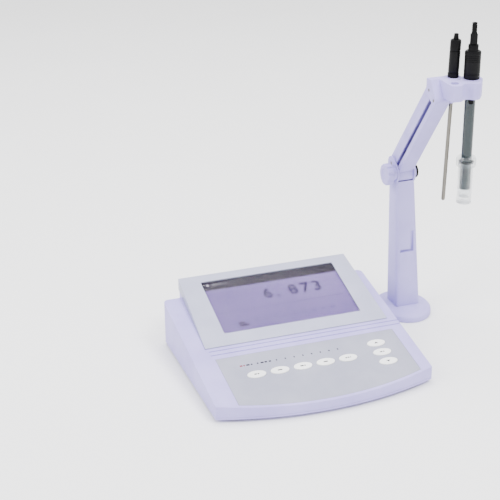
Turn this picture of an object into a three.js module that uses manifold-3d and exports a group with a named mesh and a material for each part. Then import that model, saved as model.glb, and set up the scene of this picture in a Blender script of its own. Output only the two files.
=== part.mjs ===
// A bench pH meter: a wedge-shaped console with a tilted display and eight keys, and an electrode
// stand at its right side whose parallelogram arm keeps the electrode holder level.
// Millimetres, +Z up, +X to the user's right, -Y towards the user.
import * as THREE from "three";
import { ConvexGeometry } from "three/addons/geometries/ConvexGeometry.js";
import { mergeVertices } from "three/addons/utils/BufferGeometryUtils.js";
import Module from "manifold-3d";

const wasm = await Module();
wasm.setup();

// ---------------------------------------------------------------- driving dimensions
const GAP = 0.3; // between pieces that rest on or fit in each other
const REACH = 400; // longer than any piece that a cutting prism passes through
const NEAR = 50; // for a cut that must stay near its place
const MERGE = 1; // how far shapes of one body run into each other

// Console case
const CASE_WIDTH = 290;
const CASE_BOW = 25.5; // how far the front edge bulges out in the middle
const TAIL_DEPTH = 240; // front corners to the back wall behind the display
const WING_DEPTH = TAIL_DEPTH - 16; // and to the back of the wings
const TAIL_LEFT = -CASE_WIDTH / 2 + 28;
const TAIL_RIGHT = CASE_WIDTH / 2 - 20;
const CORNER = 7;
const WALL = 2.6;
const FOOT_LIFT = 4.4; // table to the underside of the case
const FLOOR = 2.5;
const DECK_FRONT_Z = 22.5; // deck height at the front corners
const DECK_SLOPE = 10.4;
const LIP_HEIGHT = 4;
const LIP_WALL = 1.6;
const OVERLAY_BACK = 86; // back edge of the keypad; the grooves and the display follow it
const GROOVE_WIDTH = 1.8;
const GROOVE_DEPTH = 1;
const GROOVES_Y = [OVERLAY_BACK + 8, OVERLAY_BACK + 16];

// Display housing and display
const HOUSING_FRONT = OVERLAY_BACK + 22;
const HOUSING_BACK = TAIL_DEPTH + 3;
const HOUSING_LEFT = -CASE_WIDTH / 2 + 22;
const HOUSING_RIGHT = CASE_WIDTH / 2 - 13;
const GROOVE_LEFT = HOUSING_LEFT + 3;
const HOUSING_TAPER = 5.5; // each side leans in by this much from front to back
const HOUSING_STEP = 1.5; // front edge above the deck
const HOUSING_WALL = 2.2;
const HOUSING_LEDGE = 4; // solid strip along the thin front edge
const PANEL_SLOPE = 16.2;
const WINDOW_SIDES = 62.4; // panel left at the two sides of the window
const WINDOW_WIDTH = HOUSING_RIGHT - HOUSING_LEFT - WINDOW_SIDES;
const WINDOW_CENTRE_X = (HOUSING_LEFT + HOUSING_RIGHT) / 2 + 1.9;
const WINDOW_FRONT = 21.5; // along the panel from its front edge
const WINDOW_HEIGHT = HOUSING_BACK - HOUSING_FRONT - 30;
const DISPLAY_HOLE_EDGE = 11; // hole in the deck, past the window at each side
const DISPLAY_HOLE_MARGIN = 7; // and short of the housing at front and back
const WINDOW_CORNER = 2;
const LENS = 1.6;
const LCD_OVERLAP = 3; // the display glass is this much larger than its window, each side
const LCD_GLASS = 2;
const LCD_RIM = 3;
const LCD_BOARD = 1.6;
const DISPLAY_DEPTH = 6; // lens underside to the display board's top

// Keypad
const OVERLAY_LEFT = HOUSING_LEFT + 6;
const OVERLAY_RIGHT = HOUSING_RIGHT - 3;
const OVERLAY_MARGIN = 4; // from the bowed front edge
const OVERLAY = 0.7;
const RECESS = 1;
const KEY_LENGTH = 25;
const KEY_WIDTH = 13.5;
const KEY_RISE = 1.1; // above the overlay
const KEY_FLANGE = 1.2;
const KEY_FLANGE_EDGE = 1.3;
const KEY_ROW_Y = OVERLAY_BACK - 41.5;
const KEY_ROW_COUNT = 5;
const KEY_SPACES = 16; // equal spaces that share the overlay's width left by the row and the column
const KEY_SPACE = (OVERLAY_RIGHT - OVERLAY_LEFT - (KEY_ROW_COUNT + 1) * KEY_LENGTH) / KEY_SPACES;
const KEY_ROW_MARGIN = 4.75; // spaces left of the row
const KEY_COLUMN_MARGIN = 3.5; // and right of the column
const KEY_ROW_X = OVERLAY_LEFT + KEY_ROW_MARGIN * KEY_SPACE + KEY_LENGTH / 2;
const KEY_PITCH = KEY_LENGTH + KEY_SPACE;
const KEY_COLUMN_X = OVERLAY_RIGHT - KEY_COLUMN_MARGIN * KEY_SPACE - KEY_LENGTH / 2;
const KEY_BOARD_LEFT = OVERLAY_LEFT + 16;
const KEY_BOARD_RIGHT = OVERLAY_RIGHT - 12.8;
const KEY_COLUMN_Y = OVERLAY_BACK - 61;
const KEY_COLUMN_PITCH = 19;
const KEY_COLUMN_COUNT = 3;
const KEY_CLEARANCE = 0.4;
const KEY_TRAVEL = 0.6;
const DOME_RADIUS = 3.5;
const DOME_HEIGHT = 1;
const BOARD = 1.6;

// Fasteners and feet
const SCREW_RADIUS = 1.5;
const SCREW_HEAD_RADIUS = 3;
const SCREW_HEAD = 1.4;
const SCREW_LENGTH = 10;
const BOSS_RADIUS = 4;
const SCREW_X = CASE_WIDTH / 2 - 21;
const SCREWS_Y = [20, WING_DEPTH - 24];
const RUBBER_RADIUS = 8.5;
const RUBBER_PEG = 3;
const RUBBER_EDGE = 1; // chamfer round the tread
const FRONT_FEET = [CASE_WIDTH / 2 - 23, 8];
const BACK_FEET = [CASE_WIDTH / 2 - 65, WING_DEPTH - 12];

// Boards and rear panel
const MAIN_BOARD_X = CASE_WIDTH / 2 - 50;
const MAIN_BOARD_FRONT = HOUSING_FRONT + 24;
const MAIN_BOARD_BACK = TAIL_DEPTH - 26;
const PROCESSOR = { x: -50, y: -9, width: 24, depth: 24, height: 3 }; // from the middle of the main board
const AMPLIFIER = { x: -6, y: -17, width: 20, depth: 20, height: 2.5 };
const TRANSFORMER = { x: 50, y: 0, width: 32, depth: 26, height: 12 };
const HEADER = { x: -69, y: 24, width: 22, depth: 14, height: 8 };
const STANDOFF = 6;
const STANDOFF_RADIUS = 3.2;
const REAR_LEFT = TAIL_LEFT + 17;
const REAR_RIGHT = TAIL_RIGHT - 20;
const REAR_BOTTOM = 13;
const REAR_ROOF = 12.5; // wall left above the rear panel
const REAR_PLATE = 2;
const SOCKET_Z = REAR_BOTTOM + 21;
const SOCKET_FLANGE = 1.6;
const SOCKET_INSIDE = 10; // reach of a socket behind the panel
const SOCKET_HOLLOW = 8;
const ELECTRODE_SOCKET = { x: REAR_LEFT + 25, flange: 7.4, barrel: 4.8, bore: 3.9, pin: 0.8, reach: 12 };
const REFERENCE_SOCKET = { x: REAR_LEFT + 52, flange: 5.4, barrel: 3.6, bore: 1.4, pin: 0, reach: 9 };
const TEMPERATURE_SOCKET = { x: REAR_LEFT + 80, flange: 6.4, barrel: 4.6, bore: 2.6, pin: 0.6, reach: 4 };
const POWER_INLET = { x: REAR_RIGHT - 23, flange: 6.2, barrel: 5, bore: 3.4, pin: 1, reach: 5 };
const BAYONET_RADIUS = 1;
const BAYONET_HALF = 5.8;
const BAYONET_OUT = 9;
const SERIAL_X = (REAR_LEFT + REAR_RIGHT) / 2 + 27.5;
const SERIAL_SHELL = [17.2, 8.8];
const SERIAL_WALL = 0.8;
const SERIAL_FLANGE = [31, 12.4];
const SERIAL_FLANGE_HEIGHT = 1.2;
const SERIAL_REACH = 6;

// Stand foot, plate and swivel
const COLUMN_X = CASE_WIDTH / 2 + 59;
const COLUMN_Y = TAIL_DEPTH - 35.5;
const FOOT_HALF_X = 38;
const FOOT_HALF_Y = 46;
const FOOT_RIM = 8;
const FOOT_TOP = 14;
const FOOT_SHOULDER = [2, 1.6]; // in from the rim, and up
const FOOT_DISH = 3; // rise of the foot from its rim to the collar
const COLLAR_RADIUS = 25;
const COLLAR_FLARE = 5;
const PLATE = 2.8;
const PLATE_LIFT = 1;
const PLATE_LEFT = CASE_WIDTH / 2 - 49;
const PLATE_RIGHT = COLUMN_X + 18;
const PLATE_WIDTH = 56;
const PLATE_CORNER = 6;
const PLATE_SCREW_X = PLATE_LEFT + 12;
const PLATE_SCREW_SPREAD = 15;
const BOLT_RADIUS = 5;
const BOLT_HEAD_RADIUS = 9;
const BOLT_HEAD = 1.6;
const BOLT_TOP = 31;
const NUT_RADIUS = 9;
const NUT_HEIGHT = 6;

// Column
const COLUMN_BASE_X = 36.5;
const COLUMN_BASE_Y = 33;
const COLUMN_TOP_Y = 25;
const COLUMN_TOP_Z = 196;
const COLUMN_LEAN = 18; // the top stands this far behind the base
const COLUMN_SHIFT = -1; // and this far to the left
const COLUMN_CORNER = 4;
const COLUMN_WALL = 3;
const COLUMN_FLOOR = 5;
const POCKET_WIDTH = 20.5; // recess in the front, mostly filled by a raised tab
const POCKET_HEIGHT = 30;
const POCKET_Z = COLUMN_TOP_Z - 104;
const POCKET_DEPTH = 5;
const TAB_SIDE = 5; // gap at the tab's right
const TAB_BELOW = 4; // and below it
const TAB_SINK = 1; // tab's face below the column's

// Arm: two links between the column's cheeks and the head's cheeks
const ARM_LENGTH = 163;
const ARM_ANGLE = 37; // from the vertical, leaning to the user
const ELBOW_Y = COLUMN_Y + COLUMN_LEAN - 7;
const ELBOW_Z = COLUMN_TOP_Z + 9;
const PIVOT_SPACING = 17;
const LINK_WIDTH = 21.8;
const LINK_SIDE = 0.4;
const CHEEK = 2.6;
const CHEEK_SET_IN = 0.1; // the column's sides stand out from the elbow's cheeks
const COLUMN_TOP_X = LINK_WIDTH + 2 * (LINK_SIDE + CHEEK + CHEEK_SET_IN);
const HEAD_CHEEK = 2;
const UPPER_ABOVE = 9.8; // upper link's back face above its pivot line
const UPPER_BELOW = 6.2;
const LOWER_ABOVE = 4.2;
const LOWER_BELOW = 2.4;
const LINK_WALL = 2;
const PIN_RADIUS = 2;
const ELBOW_BOLT_RADIUS = 2.6;
const LOWER_END_RADIUS = 5.2;
const HEEL_RADIUS = 6; // rounded heel of the lower link, below and in front of the elbow
const HEEL_BACK = 5; // its centre, back along the link from the pivot
const HEEL_BELOW = 3.5; // and below the pivot line
const CHANNEL_MARGIN = 12;
const RIB_WIDTH = 6; // two ribs on the lower link reach into the upper link's channel
const RIB_HEIGHT = 8;
const RIB_END = 24; // from the pivots
const RIBS_APART = [71, 104]; // the open stretch between them, from the elbow
const LUG_LENGTH = 6;
const LUG_HEIGHT = 2.6;
const LUG_WIDTH = 5;
const LUG_AT = 86;
const KNOB_RADIUS = 15;
const KNOB_THICKNESS = 9;
const KNOB_HUB = 7;
const KNOB_HUB_RADIUS = 9;
const KNOB_SOCKET = 3; // knob's face to the end of the bolt
const KNOB_LOBES = 10;
const LOBE_RADIUS = 2.4;
const CAP_NUT_RADIUS = 9.5;
const CAP_NUT = 4.2;
const CAP_NUT_FACE = 1; // wall over the bolt's end

// Head and electrode holder; places are from the arm's middle and the lower head pin, to the right and back
const HEAD_RISE = 24.6; // lower head pin to the holder's top face
const HOLDER_THICKNESS = 21;
const HEAD_FRONT = 9.6;
const HEAD_BACK = 20.6;
const HEAD_LUG = 6; // radius around the lower head pin
const HEAD_EAR = 7.4; // and around the upper one
const HEAD_SIDE = LINK_WIDTH / 2 + LINK_SIDE + HEAD_CHEEK; // the arm's middle to the head's side
const HOLDER_LEFT = HEAD_SIDE - 14.7;
const HOLDER_FRONT = -27.4;
const FINGER_WIDTH = 16.5;
const FINGER_CORNER = 5;
const ELECTRODE_AT = [HEAD_SIDE + 24.7, -2.4];
const PROBE_AT = [HEAD_SIDE + 6.2, 12.1];
const SPARE_AT = [HOLDER_LEFT + 9.4, -14.9];
const BODY_RADIUS = 6.9; // the electrode's glass body
const ELECTRODE_BOSS_WALL = 7.6;
const ELECTRODE_BOSS = BODY_RADIUS + ELECTRODE_BOSS_WALL;
const PROBE_BOSS = 11.5;
const PROBE_ROOT = 4; // the holder's back face to the boss where it leaves the head
const SPARE_RADIUS = 5.5;
const RIGHT_FINGER_AT = [HEAD_SIDE + 20.2, -19.9];
const RIGHT_FINGER_RADIUS = 7.5;
const FLUTE_AT = [HEAD_SIDE + 8, -27.9];
const FLUTE_RADIUS = 7;

// pH electrode
const BODY_WALL = 1.7;
const BODY_BORE = BODY_RADIUS - BODY_WALL;
const BODY_BELOW = 148.8; // holder's top face to the foot of the glass
const CAP_WALL = 3.5;
const CAP_RADIUS = BODY_RADIUS + CAP_WALL;
const CAP_HEIGHT = 36;
const CAP_OVERLAP = 10; // the cap reaches this far down over the glass body
const CAP_NECK_RADIUS = 6.6;
const CAP_NECK = 8;
const RELIEF_RADIUS = 4.8;
const RELIEF_HEIGHT = 13.5;
const STUB_RADIUS = 3.5;
const STUB_HEIGHT = 14;
const INNER_RADIUS = 3;
const BULB_RADIUS = 4.4;
const BULB_RISE = 6; // foot of the glass to the middle of the bulb
const PLUG_RADIUS = 3.2;
const PLUG_BELOW = 7.8; // holder's underside to the middle of the plug
const PLUG_TURN = 19; // the plug faces this far to the left of straight forward
const PLUG_SINK = 0.4; // its flat face inside the round of the glass
const PLUG_DEPTH = 1.3;
const BOTTLE_ROOM = 1.3; // between the glass and the bottle
const BOTTLE_WALL = 1.6;
const BOTTLE_BORE = BODY_RADIUS + BOTTLE_ROOM;
const BOTTLE_RADIUS = BOTTLE_BORE + BOTTLE_WALL;
const BOTTLE_BELOW = 19.5; // foot of the glass to the foot of the bottle
const BOTTLE_ABOVE = 36; // and to its mouth
const BOTTLE_BASE = 9;
const RING_WALL = 3.2;
const RING_RADIUS = BOTTLE_RADIUS + RING_WALL;
const RING_ABOVE = 9; // bottle's mouth to the top of the ring
const RING_OVERLAP = 4;
const SEAL_HEIGHT = 2;
const EDGE = 1; // chamfer on turned edges

// Temperature probe
const PROBE_TILT = 1.5;
const HANDLE_RADIUS = 7;
const HANDLE_HEIGHT = 28;
const FLANGE_RADIUS = 7.3;
const FLANGE_HEIGHT = 5.5;
const SLEEVE_RADIUS = 5;
const SLEEVE_LENGTH = 28;
const HANDLE_WAIST = 0.6;
const HANDLE_GROOVE = 1;
const HANDLE_TOP_HEIGHT = 14;
const NUB_RADIUS = 3.4;
const NUB_HEIGHT = 7;
const ROD_RADIUS = 2.5;
const ROD_BELOW = 167.3; // holder's top face to the tip

// Working sizes that follow from the ones above
const ROUND = 18; // sides of a round piece
const SMALL_ROUND = 10; // and of a small one
const CASE_CURVE = 7; // steps along each arc of the case outline
const SPLIT_Z = FOOT_LIFT + FLOOR + GAP;
const radians = THREE.MathUtils.degToRad;
const DECK_RISE = Math.tan(radians(DECK_SLOPE));
const PANEL_RISE = Math.tan(radians(PANEL_SLOPE));
const deckZ = (y) => DECK_FRONT_Z + DECK_RISE * y;
const REAR_TOP = deckZ(TAIL_DEPTH) - REAR_ROOF;
const PANEL_FRONT_Z = deckZ(HOUSING_FRONT) + HOUSING_STEP;
const panelZ = (y) => PANEL_FRONT_Z + PANEL_RISE * (y - HOUSING_FRONT);

// ---------------------------------------------------------------- materials
function finish(color, roughness, metalness = 0, opacity = 1) {
  return new THREE.MeshStandardMaterial({
    color,
    roughness,
    metalness,
    opacity,
    transparent: opacity < 1,
  });
}
const LAVENDER = finish(0xdedcf0, 0.5);
const GREY = finish(0xc9cbd2, 0.5);
const KEY_WHITE = finish(0xf2f2f4, 0.5);
const LENS_CLEAR = finish(0x9a86bc, 0.1, 0, 0.4);
const DISPLAY = finish(0x8f7bb4, 0.3);
const DARK = finish(0x1c1b20, 0.5);
const RUBBER = finish(0x2a2a2d, 0.9);
const BOARD_GREEN = finish(0x2f5f45, 0.6);
const STEEL = finish(0xb9bcc0, 0.3, 1);
const GLASS = finish(0x5f7478, 0.15, 0, 0.6);
const CLEAR = finish(0xd5dadd, 0.15, 0, 0.4);

// ---------------------------------------------------------------- shapes
const AXES = {
  x: [new THREE.Vector3(0, 1, 0), new THREE.Vector3(0, 0, 1), new THREE.Vector3(1, 0, 0)],
  y: [new THREE.Vector3(0, 0, 1), new THREE.Vector3(1, 0, 0), new THREE.Vector3(0, 1, 0)],
  z: [new THREE.Vector3(1, 0, 0), new THREE.Vector3(0, 1, 0), new THREE.Vector3(0, 0, 1)],
};

// A closed three.js geometry as a manifold-3d solid.
function solid(geometry) {
  const bare = geometry.clone();
  bare.deleteAttribute("normal");
  bare.deleteAttribute("uv");
  const merged = mergeVertices(bare, 1e-4);
  const vertProperties = new Float32Array(merged.attributes.position.array);
  const triVerts = new Uint32Array(merged.index.array);
  return new wasm.Manifold(new wasm.Mesh({ numProp: 3, vertProperties, triVerts }));
}

function geometryOf(body) {
  const { vertProperties, triVerts } = body.getMesh();
  const geometry = new THREE.BufferGeometry();
  geometry.setAttribute("position", new THREE.BufferAttribute(new Float32Array(vertProperties), 3));
  geometry.setIndex(new THREE.BufferAttribute(new Uint32Array(triVerts), 1));
  return geometry;
}

const join = (...bodies) => bodies.reduce((whole, body) => whole.add(body));
const cut = (body, ...tools) => tools.reduce((rest, tool) => rest.subtract(tool), body);

// An outline drawn in the two axes after `axis` (yz, zx or xy), carried from one height to another.
function prism(axis, outline, from, to, curveSegments = 8) {
  const points = () => outline.map(([a, b]) => new THREE.Vector2(a, b));
  const shape = outline instanceof THREE.Shape ? outline : new THREE.Shape(points());
  const options = { depth: to - from, bevelEnabled: false, curveSegments };
  const geometry = new THREE.ExtrudeGeometry(shape, options);
  geometry.translate(0, 0, from);
  geometry.applyMatrix4(new THREE.Matrix4().makeBasis(...AXES[axis]));
  return solid(geometry);
}

function box([x0, x1], [y0, y1], [z0, z1]) {
  const geometry = new THREE.BoxGeometry(x1 - x0, y1 - y0, z1 - z0);
  geometry.translate((x0 + x1) / 2, (y0 + y1) / 2, (z0 + z1) / 2);
  return solid(geometry);
}

// A cylinder along `axis`; its centre is given in the two axes after it.
function cylinder(axis, [a, b], radius, from, to, sides = ROUND) {
  const geometry = new THREE.CylinderGeometry(radius, radius, to - from, sides);
  geometry.rotateX(Math.PI / 2);
  geometry.translate(a, b, (from + to) / 2);
  geometry.applyMatrix4(new THREE.Matrix4().makeBasis(...AXES[axis]));
  return solid(geometry);
}

// A turned piece: a closed profile of [radius, height] about `axis`, counter-clockwise in that plane.
function turned(axis, [a, b], profile, sides = ROUND) {
  const points = [...profile, profile[0]].map(([r, h]) => new THREE.Vector2(r, h));
  const geometry = new THREE.LatheGeometry(points, sides);
  geometry.rotateX(Math.PI / 2);
  geometry.translate(a, b, 0);
  geometry.applyMatrix4(new THREE.Matrix4().makeBasis(...AXES[axis]));
  return solid(geometry);
}

// Points on a circle, for hulls and outlines.
function circlePoints([a, b], radius, count = ROUND) {
  return Array.from({ length: count }, (_, i) => {
    const angle = (2 * Math.PI * i) / count;
    return [a + radius * Math.cos(angle), b + radius * Math.sin(angle)];
  });
}

// The convex outline around points in a plane, counter-clockwise.
function hullOutline(points) {
  const sorted = [...points].sort((p, q) => p[0] - q[0] || p[1] - q[1]);
  const half = (list) => {
    const chain = [];
    for (const p of list) {
      while (chain.length > 1) {
        const [[ax, ay], [bx, by]] = chain.slice(-2);
        if ((bx - ax) * (p[1] - ay) - (by - ay) * (p[0] - ax) > 1e-6) break;
        chain.pop();
      }
      chain.push(p);
    }
    return chain.slice(0, -1);
  };
  return [...half(sorted), ...half(sorted.reverse())];
}

function roundedRectangle([x0, x1], [y0, y1], radius) {
  const shape = new THREE.Shape();
  shape.absarc(x1 - radius, y0 + radius, radius, -Math.PI / 2, 0);
  shape.absarc(x1 - radius, y1 - radius, radius, 0, Math.PI / 2);
  shape.absarc(x0 + radius, y1 - radius, radius, Math.PI / 2, Math.PI);
  shape.absarc(x0 + radius, y0 + radius, radius, Math.PI, (3 * Math.PI) / 2);
  shape.closePath();
  return shape;
}

// The case's outline seen from above, drawn in by `inset` all round.
function caseOutline(inset) {
  const half = CASE_WIDTH / 2 - inset;
  const bowRadius = ((CASE_WIDTH / 2) ** 2 + CASE_BOW ** 2) / (2 * CASE_BOW);
  const centreY = bowRadius - CASE_BOW;
  const arcRadius = bowRadius - inset;
  const spread = Math.asin(half / arcRadius);
  const corner = CORNER - inset;
  const wing = WING_DEPTH - inset;
  const tail = TAIL_DEPTH - inset;
  const shape = new THREE.Shape();
  shape.absarc(0, centreY, arcRadius, -Math.PI / 2 - spread, -Math.PI / 2 + spread);
  shape.absarc(half - corner, wing - corner, corner, 0, Math.PI / 2);
  shape.lineTo(TAIL_RIGHT - inset, wing);
  shape.lineTo(TAIL_RIGHT - inset, tail);
  shape.lineTo(TAIL_LEFT + inset, tail);
  shape.lineTo(TAIL_LEFT + inset, wing);
  shape.absarc(-half + corner, wing - corner, corner, Math.PI / 2, Math.PI);
  shape.closePath();
  return shape;
}

// Everything under a sloping plane, as a prism across the whole width.
function under(heightAt, drop, [y0, y1], bottom) {
  const outline = [[y0, bottom], [y1, bottom], [y1, heightAt(y1) - drop], [y0, heightAt(y0) - drop]];
  return prism("x", outline, -REACH, REACH);
}

// Frames that lie in the deck and in the display panel: +Y up the slope, +Z out of the surface.
const deckFrame = new THREE.Matrix4()
  .makeTranslation(0, 0, DECK_FRONT_Z)
  .multiply(new THREE.Matrix4().makeRotationX(radians(DECK_SLOPE)));
const panelFrame = new THREE.Matrix4()
  .makeTranslation(0, HOUSING_FRONT, PANEL_FRONT_Z)
  .multiply(new THREE.Matrix4().makeRotationX(radians(PANEL_SLOPE)));
const alongDeck = (y) => y / Math.cos(radians(DECK_SLOPE));
const placed = (body, frame) => body.transform(frame.elements);

const meter = new THREE.Group();
function add(name, body, material, parent = meter) {
  const mesh = new THREE.Mesh(geometryOf(body), material);
  mesh.name = name;
  parent.add(mesh);
}

// ---------------------------------------------------------------- keypad layout
const keyPlaces = [];
for (let i = 0; i < KEY_ROW_COUNT; i += 1) keyPlaces.push([KEY_ROW_X + i * KEY_PITCH, KEY_ROW_Y]);
for (let i = 0; i < KEY_COLUMN_COUNT; i += 1) {
  keyPlaces.push([KEY_COLUMN_X, KEY_COLUMN_Y + (KEY_COLUMN_COUNT - 1 - i) * KEY_COLUMN_PITCH]);
}

// An oval standing on the deck, larger than the key by `edge` all round.
function oval([x, y], edge, from, to) {
  const shape = new THREE.Shape();
  shape.absellipse(x, alongDeck(y), KEY_LENGTH / 2 + edge, KEY_WIDTH / 2 + edge, 0, 2 * Math.PI);
  return placed(prism("z", shape, from, to), deckFrame);
}

function overlayOutline(clearance) {
  const bowRadius = ((CASE_WIDTH / 2) ** 2 + CASE_BOW ** 2) / (2 * CASE_BOW);
  const arcRadius = bowRadius - OVERLAY_MARGIN - clearance;
  const centreY = bowRadius - CASE_BOW;
  const left = OVERLAY_LEFT + clearance;
  const right = OVERLAY_RIGHT - clearance;
  const shape = new THREE.Shape();
  shape.absarc(
    0,
    centreY,
    arcRadius,
    -Math.PI / 2 + Math.asin(left / arcRadius),
    -Math.PI / 2 + Math.asin(right / arcRadius),
  );
  shape.lineTo(right, OVERLAY_BACK - clearance);
  shape.lineTo(left, OVERLAY_BACK - clearance);
  shape.closePath();
  return shape;
}

// A slab that follows the deck, cut to an outline seen from above.
function deckSlab(outline, top, bottom) {
  const column = prism("z", outline, 0, REACH);
  const band = box([-REACH, REACH], [-REACH, REACH], [bottom, top]);
  return column.intersect(placed(band, deckFrame));
}

// ---------------------------------------------------------------- console
const caseScrews = SCREWS_Y.flatMap((y) => [[-SCREW_X, y], [SCREW_X, y]]);
const plateScrews = [-PLATE_SCREW_SPREAD, PLATE_SCREW_SPREAD].map((d) => [PLATE_SCREW_X, COLUMN_Y + d]);
const rubberFeet = [FRONT_FEET, BACK_FEET].flatMap(([x, y]) => [[-x, y], [x, y]]);
const boardPosts = [MAIN_BOARD_FRONT + STANDOFF, MAIN_BOARD_BACK - STANDOFF]
  .flatMap((y) => [[STANDOFF - MAIN_BOARD_X, y], [MAIN_BOARD_X - STANDOFF, y]]);
const MAIN_BOARD_Z = FOOT_LIFT + FLOOR + STANDOFF;
const windowX = [WINDOW_CENTRE_X - WINDOW_WIDTH / 2, WINDOW_CENTRE_X + WINDOW_WIDTH / 2];
const windowY = [WINDOW_FRONT, WINDOW_FRONT + WINDOW_HEIGHT];
const grown = ([low, high], by) => [low - by, high + by];
const KEY_UNDERSIDE = -WALL - GAP - KEY_FLANGE; // key flange's lower face, from the deck surface
const KEY_BOARD_TOP = KEY_UNDERSIDE - KEY_TRAVEL - GAP - DOME_HEIGHT;

function lowerCase() {
  const top = FOOT_LIFT + FLOOR;
  const floor = prism("z", caseOutline(0), FOOT_LIFT, top, CASE_CURVE);
  const lipOut = prism("z", caseOutline(WALL + GAP), FOOT_LIFT, top + LIP_HEIGHT, CASE_CURVE);
  const lipIn = prism("z", caseOutline(WALL + GAP + LIP_WALL), top, top + REACH, CASE_CURVE);
  const posts = boardPosts.map((at) => cylinder("z", at, STANDOFF_RADIUS, FOOT_LIFT, MAIN_BOARD_Z - GAP, SMALL_ROUND));
  const screwHoles = caseScrews.flatMap((at) => [
    cylinder("z", at, SCREW_RADIUS + GAP, 0, REACH, SMALL_ROUND),
    cylinder("z", at, SCREW_HEAD_RADIUS + GAP, 0, FOOT_LIFT + SCREW_HEAD + GAP, SMALL_ROUND),
  ]);
  const bossRoom = caseScrews.map((at) => cylinder("z", at, BOSS_RADIUS + GAP, top, REACH, SMALL_ROUND));
  const pegHoles = rubberFeet.map((at) => cylinder("z", at, RUBBER_PEG + GAP, 0, REACH, SMALL_ROUND));
  const plateHoles = plateScrews.map((at) => cylinder("z", at, SCREW_RADIUS + GAP, 0, REACH, SMALL_ROUND));
  const tray = join(floor, lipOut.subtract(lipIn), ...posts);
  add("lower_case", cut(tray, ...screwHoles, ...bossRoom, ...pegHoles, ...plateHoles), LAVENDER);
}

function upperCase() {
  const slope = WALL / Math.cos(radians(DECK_SLOPE));
  const span = [-CASE_BOW - WALL, REACH];
  const outside = prism("z", caseOutline(0), SPLIT_Z, REACH, CASE_CURVE).intersect(under(deckZ, 0, span, SPLIT_Z));
  const inside = prism("z", caseOutline(WALL), 0, REACH, CASE_CURVE).intersect(under(deckZ, slope, span, 0));
  const bosses = caseScrews.map((at) => {
    const post = cylinder("z", at, BOSS_RADIUS, SPLIT_Z, REACH, SMALL_ROUND);
    return post.intersect(under(deckZ, slope / 2, span, 0));
  });
  const pilots = caseScrews.map((at) => {
    return cylinder("z", at, SCREW_RADIUS + GAP, 0, FOOT_LIFT + SCREW_HEAD + SCREW_LENGTH + GAP, SMALL_ROUND);
  });
  const recess = deckSlab(overlayOutline(0), REACH, -RECESS);
  const keyHoles = keyPlaces.map((at) => oval(at, KEY_CLEARANCE, -REACH, REACH / 4));
  const displayHole = box(
    grown(windowX, DISPLAY_HOLE_EDGE),
    grown([HOUSING_FRONT, TAIL_DEPTH], -DISPLAY_HOLE_MARGIN),
    [0, REACH],
  );
  const grooves = GROOVES_Y.map((y) => {
    const groove = box(
      [GROOVE_LEFT, REACH],
      [alongDeck(y) - GROOVE_WIDTH / 2, alongDeck(y) + GROOVE_WIDTH / 2],
      [-GROOVE_DEPTH, GROOVE_DEPTH],
    );
    return placed(groove, deckFrame);
  });
  const rear = box([REAR_LEFT, REAR_RIGHT], [TAIL_DEPTH - 2 * WALL, REACH], [REAR_BOTTOM, REAR_TOP]);
  const shell = join(outside.subtract(inside), ...bosses);
  add("upper_case", cut(shell, ...pilots, recess, ...keyHoles, displayHole, ...grooves, rear), LAVENDER);
}

// The display housing's outline from above: its sides lean in towards the back.
function housingOutline(inset) {
  const front = HOUSING_FRONT;
  const back = HOUSING_BACK - inset;
  return [
    [HOUSING_LEFT + inset, front],
    [HOUSING_RIGHT - inset, front],
    [HOUSING_RIGHT - HOUSING_TAPER - inset, back],
    [HOUSING_LEFT + HOUSING_TAPER + inset, back],
  ];
}

function displayHousing() {
  const outline = [
    [HOUSING_FRONT, deckZ(HOUSING_FRONT) + GAP],
    [HOUSING_BACK, deckZ(HOUSING_BACK) + GAP],
    [HOUSING_BACK, panelZ(HOUSING_BACK)],
    [HOUSING_FRONT, panelZ(HOUSING_FRONT)],
  ];
  const outside = prism("x", outline, -REACH, REACH).intersect(prism("z", housingOutline(0), 0, REACH));
  const wall = HOUSING_WALL / Math.cos(radians(PANEL_SLOPE));
  const inside = prism("z", housingOutline(HOUSING_WALL), 0, REACH)
    .intersect(under(panelZ, wall, [HOUSING_FRONT + HOUSING_LEDGE, REACH], 0));
  const opening = prism("z", roundedRectangle(windowX, windowY, WINDOW_CORNER), -REACH, REACH, 4);
  add("display_housing", cut(outside, inside, placed(opening, panelFrame)), GREY);
}

function display() {
  const lensOutline = roundedRectangle(grown(windowX, -GAP), grown(windowY, -GAP), WINDOW_CORNER);
  const lens = prism("z", lensOutline, -GAP - LENS, -GAP, 4);
  add("display_window", placed(lens, panelFrame), LENS_CLEAR);
  const glassX = grown(windowX, LCD_OVERLAP);
  const glassY = grown(windowY, LCD_OVERLAP);
  const glassTop = -HOUSING_WALL - GAP;
  const glass = box(glassX, glassY, [glassTop - LCD_GLASS, glassTop]);
  add("lcd_glass", placed(glass, panelFrame), DISPLAY);
  const rimTop = -HOUSING_WALL - GAP;
  const rim = box(grown(glassX, GAP + LCD_RIM), grown(glassY, GAP + LCD_RIM), [rimTop - DISPLAY_DEPTH + GAP, rimTop]);
  const rimHole = box(grown(glassX, GAP), grown(glassY, GAP), [-REACH, REACH]);
  add("lcd_frame", placed(rim.subtract(rimHole), panelFrame), DARK);
  const boardTop = rimTop - DISPLAY_DEPTH;
  const board = box(grown(glassX, LCD_RIM), grown(glassY, LCD_RIM), [boardTop - LCD_BOARD, boardTop]);
  add("display_board", placed(board, panelFrame), BOARD_GREEN);
}

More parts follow.
